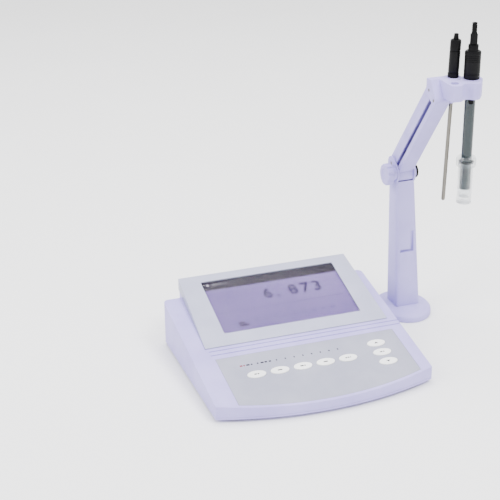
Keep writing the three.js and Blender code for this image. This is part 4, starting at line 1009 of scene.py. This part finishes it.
    def socket(
        self,
        node: str,
        material: bpy.types.Material,
        slot: Slot,
        flange: float,
        barrel: float,
        bore: float,
        pin: float,
        reach: float,
        lugs: bool,
    ) -> None:
        """One round socket.

        Args:
            node: The CAD node it stands for.
            material: Its finish.
            slot: Not used.
            flange: Radius of the flange on the panel.
            barrel: Radius of the barrel.
            bore: Radius of the hollow.
            pin: Radius of the pin inside, 0 for none.
            reach: How far the barrel stands out of the panel.
            lugs: Whether it has two bayonet lugs.
        """
        spot = Spot.of(node)
        back = spot.low.y
        face = spot.high.y - reach
        tip = spot.high.y
        floor = tip - min(8.0, reach + 4)
        chamfer = 0.4
        core = [(pin, floor), (pin, tip - 1.3), (pin / 2, tip - 1.0), (0, tip - 1.0)] if pin else [(0, floor)]
        profile = [
            (0, back),
            (barrel, back),
            (barrel, face),
            (flange - 0.3, face),
            (flange, face + 0.3),
            (flange, face + 1.2),
            (flange - 0.4, face + 1.6),
            (barrel, face + 1.6),
            (barrel, tip - chamfer),
            (barrel - chamfer, tip),
            (bore + chamfer / 2, tip),
            (bore, tip - chamfer / 2),
            (bore, floor),
            *core,
        ]
        piece = turned(node + "_turned", profile)
        if lugs:
            pegs = turned("lug", [(0, -5.8), (0.8, -5.8), (1.0, -5.6), (1.0, 5.6), (0.8, 5.8), (0, 5.8)], 20)
            pegs.data.transform(Matrix.Translation((0, 0, face + 9)) @ Axis.X.frame())
            hollow = turned("hollow", [(0, floor - 1), (4.2, floor - 1), (4.2, tip + 1), (0, tip + 1)], 40)
            united(piece, carved(pegs, hollow))
        painted(piece, material)
        settle(piece, spot.frame(Axis.Y))
        fit_out(piece, Body.ROOT, slot, node)

    def serial_port(self) -> None:
        """A nine-way data socket: a flange, a D-shaped shell, its insulator and its contacts."""
        spot = Spot.of("serial_port")
        face = spot.high.y - 6.0
        centre = Vector((spot.middle.x, 0, spot.middle.z))
        place = Matrix.Translation(centre * MM) @ Matrix.Rotation(-math.pi / 2, 4, "X")

        def tapered(width: float, height: float) -> list[Point]:
            """The D outline: one long side shorter than the other."""
            half, up, lean = width / 2, height / 2, 1.3
            return [(-half, -up), (half, -up), (half - lean, up), (lean - half, up)]

        flange = bevelled(prism("serial_flange", rectangle((0, 0), (31, 12.4), 1.2), face, face + 1.2), 0.2)
        shell = prism("shell", tapered(17.2, 8.8), spot.low.y, spot.high.y)
        shell = carved(shell, prism("room", tapered(15.6, 7.2), face + 0.6, spot.high.y + 1))
        flange = united(flange, shell)
        nuts = []
        for side in (-1, 1):
            nut = prism("nut", ellipse((side * 12.5, 0), (2.3, 2.3), 6), face + 1.0, face + 4.8)
            hole = prism("thread", ellipse((side * 12.5, 0), (1.2, 1.2), 20), face + 2, face + 6)
            nuts.append(carved(nut, hole))
        united(flange, *nuts)
        painted(flange, self.finishes.steel)
        block = painted(prism("insulator", tapered(15.4, 7.0), face + 0.7, face + 4.2), self.finishes.black)
        pins = []
        for row, count in ((1.4, 5), (-1.4, 4)):
            for i in range(count):
                x = (i - (count - 1) / 2) * 2.7
                pin = prism("contact", ellipse((x, row), (0.5, 0.5), 12), face + 4.2, face + 5.2)
                pins.append(painted(pin, self.finishes.steel))
        joined(flange, [block, *pins])
        settle(flange, place)
        fit_out(flange, Body.ROOT, Slot.STEEL, "serial_port")

    def underside(self) -> None:
        """The rubber feet, the screws, the boards and the display's frame."""
        for end in ("front_left", "front_right", "back_left", "back_right"):
            node = "rubber_foot_" + end
            height = Spot.of(node).size.z
            profile = [
                (0, 0.5),
                (4.5, 0.5),
                (5.0, 0.0),
                (7.4, 0.0),
                (8.2, 0.3),
                (8.5, 1.0),
                (8.5, 3.3),
                (7.9, 4.1),
                (3.0, 4.1),
                (3.0, height - 0.4),
                (2.6, height),
                (0, height),
            ]
            turned_piece(node + "_pad", node, profile, 48, self.finishes.rubber, Body.ROOT, Slot.RUBBER)
        for kind, count, length in (("case_screw", 4, 10.0), ("plate_screw", 2, 5.0)):
            for i in range(count):
                self.screw(f"{kind}_{i + 1}", length)
        for node, material in (
            ("lcd_frame", self.finishes.black),
            ("display_board", self.finishes.board),
            ("key_board", self.finishes.board),
        ):
            painted(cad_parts[node], material)
        self.main_board()

    def main_board(self) -> None:
        """The main board with its black parts, carried over from the frame and painted part by part."""
        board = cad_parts["main_board"]
        painted(board, self.finishes.board)
        board.data.materials.append(self.finishes.black)
        top = Spot.of("main_board").low.z + 2.0
        for face in board.data.polygons:
            if min(board.data.vertices[v].co.z for v in face.vertices) / MM > top - 0.6 and face.center.z / MM > top:
                face.material_index = 1

    def screw(self, node: str, length: float) -> None:
        """One pan-head screw with a cross recess, its head downwards."""
        low = Spot.of(node).low.z
        head, shank = 3.0, 1.5
        profile = [(0, low), (head - 1.0, low), (head, low + 0.8), (head, low + 1.4), (shank, low + 1.4)]
        pitch = 0.8
        z = low + 2.2
        while z + pitch < low + 1.4 + length - 0.8:
            profile += [(shank - 0.3, z), (shank, z + pitch / 2)]
            z += pitch
        profile += [(shank - 0.4, low + 1.4 + length - 0.4), (0, low + 1.4 + length)]
        piece = turned(node + "_turned", profile, 28)
        slots = [prism("slot", rectangle((0, 0), size), low - 1, low + 0.7) for size in ((3.4, 0.7), (0.7, 3.4))]
        carved(piece, united(*slots))
        painted(piece, self.finishes.steel)
        settle(piece, Spot.of(node).frame())
        fit_out(piece, Body.ROOT, Slot.STEEL, node)


# ---------------------------------------------------------------- stand
@dataclass
class Stand:
    """The foot, the plate that ties it to the console, the column and the two-link arm."""

    finishes: Finishes
    plate_edge: float = 0.3
    casting_edge: float = 0.7
    link_edge: float = 0.5
    bolt_bore: float = 2.9
    foot_half: Point = (38.0, 46.0)
    foot_rim: float = 8.0
    foot_top: float = 14.0
    collar: float = 25.0
    plate_half: float = 28.3
    knob_radius: float = 15.0
    knob_lobes: int = 10
    lobe_radius: float = 2.6
    hub_radius: float = 9.0
    hub_depth: float = 7.0
    rib_half: float = 3.0
    rib_level: float = -12.5
    lug_span: Point = (80.0, 92.0)

    def build(self) -> None:
        """Builds the stand."""
        soft_piece("stand_plate", self.plate_edge, self.finishes.steel, Body.ROOT, Slot.STEEL)
        self.foot()
        for node, body in (("column", Body.COLUMN), ("upper_link", Body.UPPER_ARM)):
            soft_piece(node, self.casting_edge, self.finishes.case, body, Slot.CASE, 3)
        lower = soft_copy("lower_link", self.link_edge, self.finishes.case)
        # Painted shade: the ribs are coloured black for the dark at the two ends of the slot.
        self.paint_slot_shade_on_ribs(lower)
        fit_out(lower, Body.LOWER_ARM, Slot.CASE, "lower_link")
        self.knob()
        self.nut()
        for node, body in (
            ("upper_elbow_pin", Body.COLUMN),
            ("upper_head_pin", Body.HEAD),
            ("lower_head_pin", Body.HEAD),
        ):
            self.pin(node, body)
        for node in ("tension_bolt", "swivel_bolt", "swivel_nut"):
            painted(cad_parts[node], self.finishes.steel)

    def paint_slot_shade_on_ribs(self, link: bpy.types.Object) -> None:
        """Paints the lower link's two raised ribs black as painted shade, for the dark at the two ends of the slot
        between the links; the lug between them keeps the case colour.

        Args:
            link: The lower link's shell.
        """
        elbow, head = Spot.of("upper_elbow_pin").middle, Spot.of("upper_head_pin").middle
        along = Vector((0, head.y - elbow.y, head.z - elbow.z)).normalized()
        normal = Vector((0, -along.z, along.y))
        if normal.z < 0:
            normal.negate()
        # Painted shade: black on the rib faces stands in for the shade inside the slot.
        link.data.materials.append(self.finishes.black)
        for face in link.data.polygons:
            centre = face.center / MM - elbow
            raised = abs(centre.x) < self.rib_half + 0.2 and centre.dot(normal) > self.rib_level
            if raised and not self.lug_span[0] < centre.dot(along) < self.lug_span[1]:
                face.material_index = 1

    def foot(self) -> None:
        """The oval foot with its raised collar."""
        spot = Spot.of("stand_foot")
        half_x, half_y = self.foot_half
        profile = [
            (0, 0),
            (half_y - 1.2, 0),
            (half_y - 0.35, 0.35),
            (half_y, 1.2),
            (half_y, self.foot_rim - 1.2),
            (half_y - 0.5, self.foot_rim - 0.1),
            (half_y - 2.0, self.foot_rim + 1.2),
            (half_y - 5.0, self.foot_rim + 1.9),
            (self.collar + 8, self.foot_rim + 2.6),
            (self.collar + 4.4, self.foot_rim + 3.3),
            (self.collar + 2.2, self.foot_rim + 4.4),
            (self.collar, self.foot_top - 0.4),
            (self.collar - 0.8, self.foot_top),
            (0, self.foot_top),
        ]
        foot = turned("foot_casting", profile, 96)
        foot.data.transform(Matrix.Diagonal((half_x / half_y, 1, 1, 1)))
        plate = Spot.of("stand_plate")
        reach = plate.high.x + PLAY - spot.middle.x
        room = prism("room", rectangle((reach - 60, 0), (120, 2 * self.plate_half)), -1, plate.high.z + PLAY)
        bolt = prism("bolt_hole", ellipse((0, 0), (5.3, 5.3), 48), -1, self.foot_top + 1)
        carved(foot, room, bolt)
        painted(foot, self.finishes.case)
        settle(foot, spot.frame())
        fit_out(foot, Body.ROOT, Slot.CASE, "stand_foot")

    def knob(self) -> None:
        """The tension knob at the elbow, with finger scallops and a recessed cap."""
        spot = Spot.of("tension_knob")
        face, back = spot.low.x, spot.high.x
        rim = back - self.hub_depth
        radius = self.knob_radius
        profile = [
            (0, face + 0.7),
            (7.6, face + 0.7),
            (8.0, face + 0.1),
            (8.4, face),
            (radius - 1.6, face),
            (radius - 0.5, face + 0.4),
            (radius, face + 1.5),
            (radius, rim - 1.3),
            (radius - 0.4, rim - 0.4),
            (radius - 1.3, rim),
            (self.hub_radius, rim),
            (self.hub_radius, back - 0.3),
            (self.hub_radius - 0.3, back),
            (self.bolt_bore, back),
            (self.bolt_bore, face + 2.7),
            (0, face + 2.7),
        ]
        knob = turned("knob_body", profile, 120)
        lobes = []
        for i in range(self.knob_lobes):
            turn = math.tau * i / self.knob_lobes
            centre = ((radius + 1.1) * math.cos(turn), (radius + 1.1) * math.sin(turn))
            outline = ellipse(centre, (self.lobe_radius, self.lobe_radius), 24)
            lobes.append(prism("lobe", outline, face - 1, back + 1))
        carved(knob, *lobes)
        painted(bevelled(knob, 0.25, 2, 40), self.finishes.case)
        settle(knob, spot.frame(Axis.X))
        fit_out(knob, Body.KNOB, Slot.CASE, "tension_knob")

    def nut(self) -> None:
        """The domed cap on the bolt's far end."""
        spot = Spot.of("tension_nut")
        low, high = spot.low.x, spot.high.x
        profile = [
            (self.bolt_bore, low),
            (9.2, low),
            (9.5, low + 0.3),
            (9.5, low + 2.2),
            (8.9, low + 3.2),
            (7.4, high - 0.3),
            (5.0, high),
            (0, high),
            (0, high - 0.7),
            (self.bolt_bore, high - 0.7),
        ]
        turned_piece("cap_nut", "tension_nut", profile, 64, self.finishes.black, Body.COLUMN, Slot.BLACK, Axis.X)

    def pin(self, node: str, body: Body) -> None:
        """A pivot pin with chamfered ends."""
        spot = Spot.of(node)
        low, high = spot.low.x, spot.high.x
        profile = [(0, low), (1.6, low), (2.0, low + 0.4), (2.0, high - 0.4), (1.6, high), (0, high)]
        turned_piece(node + "_turned", node, profile, 32, self.finishes.turned_steel, body, Slot.STEEL, Axis.X)


@dataclass
class ElectrodeHolder:
    """The moulded holder at the arm's end."""

    finishes: Finishes
    edge: float = 0.8

    def build(self) -> None:
        """Builds the holder."""
        soft_piece("electrode_holder", self.edge, self.finishes.case, Body.HEAD, Slot.CASE, 3)


# ---------------------------------------------------------------- electrodes
@dataclass
class PhElectrode:
    """The combined pH electrode: cap, cable boot, filled glass body, inner tube, membrane and filling plug."""

    finishes: Finishes
    cap_radius: float = 10.4
    grip_depth: float = 0.5
    grip_rings: int = 4
    grip_pitch: float = 2.4
    neck_radius: float = 6.6
    neck: float = 8.0
    bore: float = 7.2
    tube_radius: float = 6.9
    tube_bore: float = 5.2
    boot_ribs: int = 4
    plug_turn: float = 19.0
    plug_radius: float = 3.2
    plug_face: float = 6.5
    plug_depth: float = 1.3

    def build(self) -> None:
        """Builds the electrode."""
        self.cap()
        self.boot()
        self.tube()
        self.plug()
        self.membrane()

    def cap(self) -> None:
        """The black cap, with a shallow waist and grip rings."""
        spot = Spot.of("electrode_cap")
        low, high = spot.low.z, spot.high.z
        body_top = Spot.of("electrode_body").high.z
        top = high - self.neck
        radius = self.cap_radius
        groove = radius - self.grip_depth
        profile = [
            (0, body_top + PLAY),
            (self.bore, body_top + PLAY),
            (self.bore, low),
            (radius - 0.6, low),
            (radius, low + 0.6),
            (radius, low + 6.0),
            (groove, low + 6.4),
            (groove, low + 7.2),
            (radius, low + 7.6),
        ]
        for i in range(self.grip_rings):
            z = top - 13.0 + self.grip_pitch * i
            profile += [(radius, z), (groove, z + 0.3), (groove, z + 0.9), (radius, z + 1.2)]
        profile += [
            (radius, top - 2.0),
            (radius - 0.4, top - 0.8),
            (radius - 1.4, top),
            (self.neck_radius + 0.4, top),
            (self.neck_radius, top + 0.5),
            (self.neck_radius, high - 0.9),
            (self.neck_radius - 0.3, high - 0.3),
            (self.neck_radius - 1.0, high),
            (0, high),
        ]
        black = self.finishes.black
        turned_piece("cap_moulding", "electrode_cap", profile, 80, black, Body.ELECTRODE, Slot.BLACK)

    def boot(self) -> None:
        """The ribbed rubber boot where the lead leaves."""
        spot = Spot.of("electrode_strain_relief")
        low, high = spot.low.z, spot.high.z
        shoulder = low + 13.2
        profile = [(0, low), (4.4, low), (4.8, low + 0.4), (4.8, shoulder - 0.6)]
        profile += [(4.2, shoulder), (3.4, shoulder + 0.6)]
        pitch = (high - shoulder - 3.0) / self.boot_ribs
        crest, valley = 3.5, 2.8
        for i in range(self.boot_ribs):
            z = shoulder + 1.0 + i * pitch
            profile += [(crest, z), (crest, z + 0.55 * pitch), (valley, z + 0.62 * pitch), (valley, z + 0.95 * pitch)]
        profile += [(3.4, high - 1.6), (3.4, high - 0.4), (3.0, high), (0, high)]
        rubber = self.finishes.rubber
        turned_piece("cable_boot", "electrode_strain_relief", profile, 48, rubber, Body.ELECTRODE, Slot.RUBBER)

    def tube(self) -> None:
        """The outer glass tube, open at the foot, with its filling hole, and the tube inside it."""
        spot = Spot.of("electrode_body")
        low, high = spot.low.z, spot.high.z
        profile = [
            (self.tube_bore, low + 0.3),
            (self.tube_bore + 0.3, low),
            (self.tube_radius - 0.7, low),
            (self.tube_radius - 0.2, low + 0.3),
            (self.tube_radius, low + 1.0),
            (self.tube_radius, high),
            (self.tube_bore, high),
        ]
        body = turned("glass_tube", profile, 72)
        reach = self.plug_radius + PLAY
        hole = prism("hole", ellipse((0, 0), (reach, reach), 40), -12, 0)
        hole.data.transform(Matrix.Translation((0, 0, Spot.of("refill_plug").middle.z)) @ self.radial())
        carved(body, hole)
        painted(body, self.finishes.tube)
        settle(body, spot.frame())
        fit_out(body, Body.ELECTRODE, Slot.ELECTRODE_GLASS, "electrode_body")
        inner = Spot.of("inner_tube")
        low, high = inner.low.z, inner.high.z
        profile = [(0, low), (2.2, low), (2.8, low + 0.6), (3.0, low + 1.6), (3.0, high), (0, high)]
        glass = self.finishes.inner_glass
        turned_piece("inner_stem", "inner_tube", profile, 40, glass, Body.ELECTRODE, Slot.ELECTRODE_GLASS)

    def radial(self) -> Matrix:
        """The direction that the filling plug lies in: to the front and a little to the left."""
        return Matrix.Rotation(-math.radians(self.plug_turn), 4, "Z") @ Axis.Y.frame()

    def plug(self) -> None:
        """The rubber plug in the filling hole."""
        radius, face = self.plug_radius, -self.plug_face
        back = face + self.plug_depth
        profile = [(0, face), (radius - 0.5, face), (radius, face + 0.4), (radius - 0.1, back), (0, back)]
        plug = painted(turned("filling_plug", profile, 40), self.finishes.rubber)
        height = Spot.of("refill_plug").middle.z
        settle(plug, Spot.of("electrode_body").frame(Axis.Z, height) @ self.radial())
        fit_out(plug, Body.PLUG, Slot.RUBBER, "refill_plug")

    def membrane(self) -> None:
        """The membrane bulb at the foot."""
        spot = Spot.of("glass_bulb")
        radius = spot.size.z / 2
        steps = 14
        profile = [
            (radius * math.sin(math.pi * i / steps), spot.middle.z - radius * math.cos(math.pi * i / steps))
            for i in range(steps + 1)
        ]
        profile[0], profile[-1] = (0, profile[0][1]), (0, profile[-1][1])
        turned_piece("membrane_bulb", "glass_bulb", profile, 40, self.finishes.bulb, Body.ELECTRODE, Slot.CLEAR)


@dataclass
class StorageBottle:
    """The soaking bottle under the electrode, its screw ring and its seal."""

    finishes: Finishes
    radius: float = 9.8
    bore: float = 8.2
    base: float = 9.0
    ring_radius: float = 13.0
    ring_ribs: int = 36
    mouth: float = 7.2

    def build(self) -> None:
        """Builds the bottle."""
        spot = Spot.of("storage_bottle")
        low, high = spot.low.z, spot.high.z
        profile = [
            (0, low + 0.6),
            (5.6, low + 0.6),
            (6.4, low),
            (self.radius - 1.2, low),
            (self.radius - 0.3, low + 0.4),
            (self.radius, low + 1.3),
            (self.radius, high - 0.4),
            (self.radius - 0.4, high),
            (self.bore, high),
            (self.bore, low + self.base + 1.2),
            (self.bore - 1.2, low + self.base),
            (0, low + self.base),
        ]
        bottle = painted(turned("bottle_moulding", profile, 72), self.finishes.bottle)
        # The faces of the bottle's thick floor get the whitish finish.
        bottle.data.materials.append(self.finishes.whitish_floor)
        for face in bottle.data.polygons:
            top = max(bottle.data.vertices[v].co.z for v in face.vertices)
            if face.center.z < low + self.base + 0.2 and top < high - 2:
                face.material_index = 1
        settle(bottle, spot.frame())
        fit_out(bottle, Body.BOTTLE, Slot.CLEAR, "storage_bottle")
        self.ring()
        seal = Spot.of("bottle_seal")
        low, high = seal.low.z, seal.high.z
        middle = (low + high) / 2
        section = [(self.mouth, low), (9.6, low), (9.8, middle), (9.6, high), (self.mouth, high)]
        turned_piece("gasket", "bottle_seal", section, 64, self.finishes.rubber, Body.BOTTLE, Slot.RUBBER)

    def ring(self) -> None:
        """The clamping ring, ribbed for the fingers."""
        spot = Spot.of("bottle_ring")
        low, high = spot.low.z, spot.high.z
        inner, bore = self.radius + PLAY, self.mouth
        step = Spot.of("bottle_seal").high.z + PLAY
        radius = self.ring_radius
        profile = [
            (inner, low),
            (radius - 0.5, low),
            (radius, low + 0.5),
            (radius, high - 3.0),
            (radius - 0.7, high - 2.4),
            (radius - 0.7, high - 0.8),
            (radius - 1.4, high),
            (bore + 0.3, high),
            (bore, high - 0.3),
            (bore, step),
            (inner, step),
        ]
        ring = turned("ring_moulding", profile, 108)
        grooves = []
        for i in range(self.ring_ribs):
            turn = math.tau * i / self.ring_ribs
            centre = ((radius + 0.25) * math.cos(turn), (radius + 0.25) * math.sin(turn))
            grooves.append(prism("groove", ellipse(centre, (0.55, 0.55), 10), low - 1, high - 3.2))
        carved(ring, joined(grooves[0], grooves[1:]))
        painted(ring, self.finishes.bottle)
        settle(ring, spot.frame())
        fit_out(ring, Body.BOTTLE, Slot.CLEAR, "bottle_ring")


@dataclass
class TemperatureProbe:
    """The temperature probe: a black handle with its sleeve, a cable nub and a steel rod, hung a little askew."""

    finishes: Finishes
    tilt: float = 1.5
    handle_radius: float = 7.0
    flange_radius: float = 7.3
    flange_height: float = 5.5
    sleeve_radius: float = 5.0
    sleeve: float = 28.0
    handle: float = 28.0
    groove: float = 1.0
    top: float = 14.0
    rod_radius: float = 2.5
    rod: float = 167.3
    boot: float = 7.0

    def seat(self) -> float:
        """Height of the flange's underside, which clears the holder's top face although it leans."""
        return PLAY + self.flange_radius * math.tan(math.radians(self.tilt))

    def grip_top(self) -> float:
        """Height of the handle's top, along the axis from the holder's top face."""
        return self.seat() + self.flange_height + self.handle + self.groove + self.top

    def frame(self) -> Matrix:
        """The tilted axis, from the holder's top face up."""
        tilt = math.radians(self.tilt)
        boot = Spot.of("probe_strain_relief").middle
        along = Vector((math.sin(tilt), 0, math.cos(tilt)))
        origin = boot - along * (self.grip_top() + PLAY + self.boot / 2)
        return Matrix.Translation(origin * MM) @ Matrix.Rotation(tilt, 4, "Y")

    def build(self) -> None:
        """Builds the probe."""
        seat = self.seat()
        groove = seat + self.flange_height + self.handle
        top = groove + self.groove + self.top
        radius, flange, sleeve = self.handle_radius, self.flange_radius, self.sleeve_radius
        bore = self.rod_radius + PLAY
        rim = seat + self.flange_height
        profile = [
            (bore, -self.sleeve),
            (sleeve - 0.5, -self.sleeve),
            (sleeve, 0.5 - self.sleeve),
            (sleeve, seat),
            (flange - 0.4, seat),
            (flange, seat + 0.4),
            (flange, rim - 0.5),
            (flange - 0.5, rim),
            (radius - 0.6, rim),
            (radius - 0.2, rim + 1.0),
            (radius, rim + 2.2),
            (radius, groove - 0.4),
            (radius - 0.4, groove),
            (radius - 1.0, groove),
            (radius - 1.0, groove + self.groove),
            (radius - 0.4, groove + self.groove),
            (radius, groove + self.groove + 0.4),
            (radius, top - 2.0),
            (radius - 0.5, top - 0.7),
            (radius - 1.6, top),
            (0, top),
            (0, top - 7.0),
            (bore, top - 7.0),
        ]
        grip = painted(turned("probe_grip", profile, 72), self.finishes.black)
        settle(grip, self.frame())
        fit_out(grip, Body.PROBE, Slot.BLACK, "probe_handle")
        nub_low, nub_high = top + PLAY, top + PLAY + self.boot
        nub_profile = [(0, nub_low), (3.2, nub_low), (3.4, nub_low + 0.3), (3.4, nub_low + 2.0)]
        for i in range(2):
            z = nub_low + 2.0 + 1.6 * i
            nub_profile += [(2.8, z + 0.2), (2.8, z + 0.8), (3.3 - 0.2 * i, z + 1.0), (3.3 - 0.2 * i, z + 1.6)]
        nub_profile += [(2.9, nub_high - 0.4), (2.5, nub_high), (0, nub_high)]
        nub = painted(turned("probe_boot", nub_profile, 40), self.finishes.rubber)
        settle(nub, self.frame())
        fit_out(nub, Body.PROBE, Slot.RUBBER, "probe_strain_relief")
        foot, r = -self.rod, self.rod_radius
        rod_profile = [(0, foot), (0.9, foot), (1.7, foot + 0.5), (2.3, foot + 1.4)]
        rod_profile += [(r, foot + 2.6), (r, groove), (0, groove)]
        rod = painted(turned("probe_stem", rod_profile, 40), self.finishes.turned_steel)
        settle(rod, self.frame())
        fit_out(rod, Body.PROBE, Slot.STEEL, "probe_rod")


# ---------------------------------------------------------------- studio
@dataclass
class Studio:
    """A pale sweep, soft lamps and the camera, all outside the object."""

    camera_place: tuple[float, float, float] = (-0.5923, -1.3560, 0.79046)
    azimuth: float = -19.406
    elevation: float = 23.368
    roll: float = -0.497
    focal_length: float = 89.91
    floor_half: float = 6.0
    floor_colour: str = "f4f4f5"
    surround: float = 1.5
    aim_height: float = 0.15

    def build(self) -> None:
        """Builds the studio."""
        self.camera()
        self.floor()
        self.sky()
        self.lamp("key_lamp", (0.9, -1.5, 2.8), 1.2, 105)
        self.lamp("fill_lamp", (-2.2, -0.3, 1.6), 1.6, 60)
        self.lamp("top_lamp", (0.1, 0.6, 2.6), 1.6, 95)

    def camera(self) -> None:
        """Sets the camera by its place, the way it looks and its roll."""
        data = bpy.data.cameras.new("camera")
        data.lens = self.focal_length
        data.sensor_width = 36.0
        data.clip_end = 50.0
        data.dof.use_dof = False
        camera = bpy.data.objects.new("camera", data)
        bpy.context.scene.collection.objects.link(camera)
        look = (
            Matrix.Translation(self.camera_place)
            @ Matrix.Rotation(math.radians(self.azimuth), 4, "Z")
            @ Matrix.Rotation(math.radians(90 - self.elevation), 4, "X")
            @ Matrix.Rotation(math.radians(self.roll), 4, "Z")
        )
        camera.matrix_world = look
        bpy.context.scene.camera = camera

    def floor(self) -> None:
        """A matt pale bench, far wider than the object."""
        bpy.ops.object.select_all(action="DESELECT")
        bpy.ops.mesh.primitive_plane_add(size=2 * self.floor_half)
        floor = bpy.context.active_object
        floor.name = "bench"
        # Painted board, rolled to an even matt white.
        painted(floor, Moulded("bench_paint", self.floor_colour, "f2f2f3", 0.6, 3.0, 0.01, 400).build())

    def sky(self) -> None:
        """An even white surround."""
        world = bpy.data.worlds.new("surround")
        world.use_nodes = True
        background = world.node_tree.nodes["Background"]
        background.inputs["Color"].default_value = linear("ffffff")
        background.inputs["Strength"].default_value = self.surround
        bpy.context.scene.world = world

    def lamp(self, name: str, place: tuple[float, float, float], size: float, power: float) -> None:
        """One square area lamp that looks at the middle of the object."""
        data = bpy.data.lights.new(name, "AREA")
        data.size = size
        data.energy = power
        lamp = bpy.data.objects.new(name, data)
        bpy.context.scene.collection.objects.link(lamp)
        lamp.location = place
        aim = Vector((0.0, 0.0, self.aim_height)) - Vector(place)
        lamp.visible_glossy = False
        lamp.rotation_euler = aim.to_track_quat("-Z", "Y").to_euler()


def main() -> None:
    """Builds the meter and its studio."""
    logging.basicConfig(level=logging.INFO)
    Studio().build()
    finishes = Finishes()
    for part in (Console, Stand, ElectrodeHolder, PhElectrode, StorageBottle, TemperatureProbe):
        part(finishes).build()
        LOG.info("built %s", part.__name__)


if __name__ == "__main__":
    main()
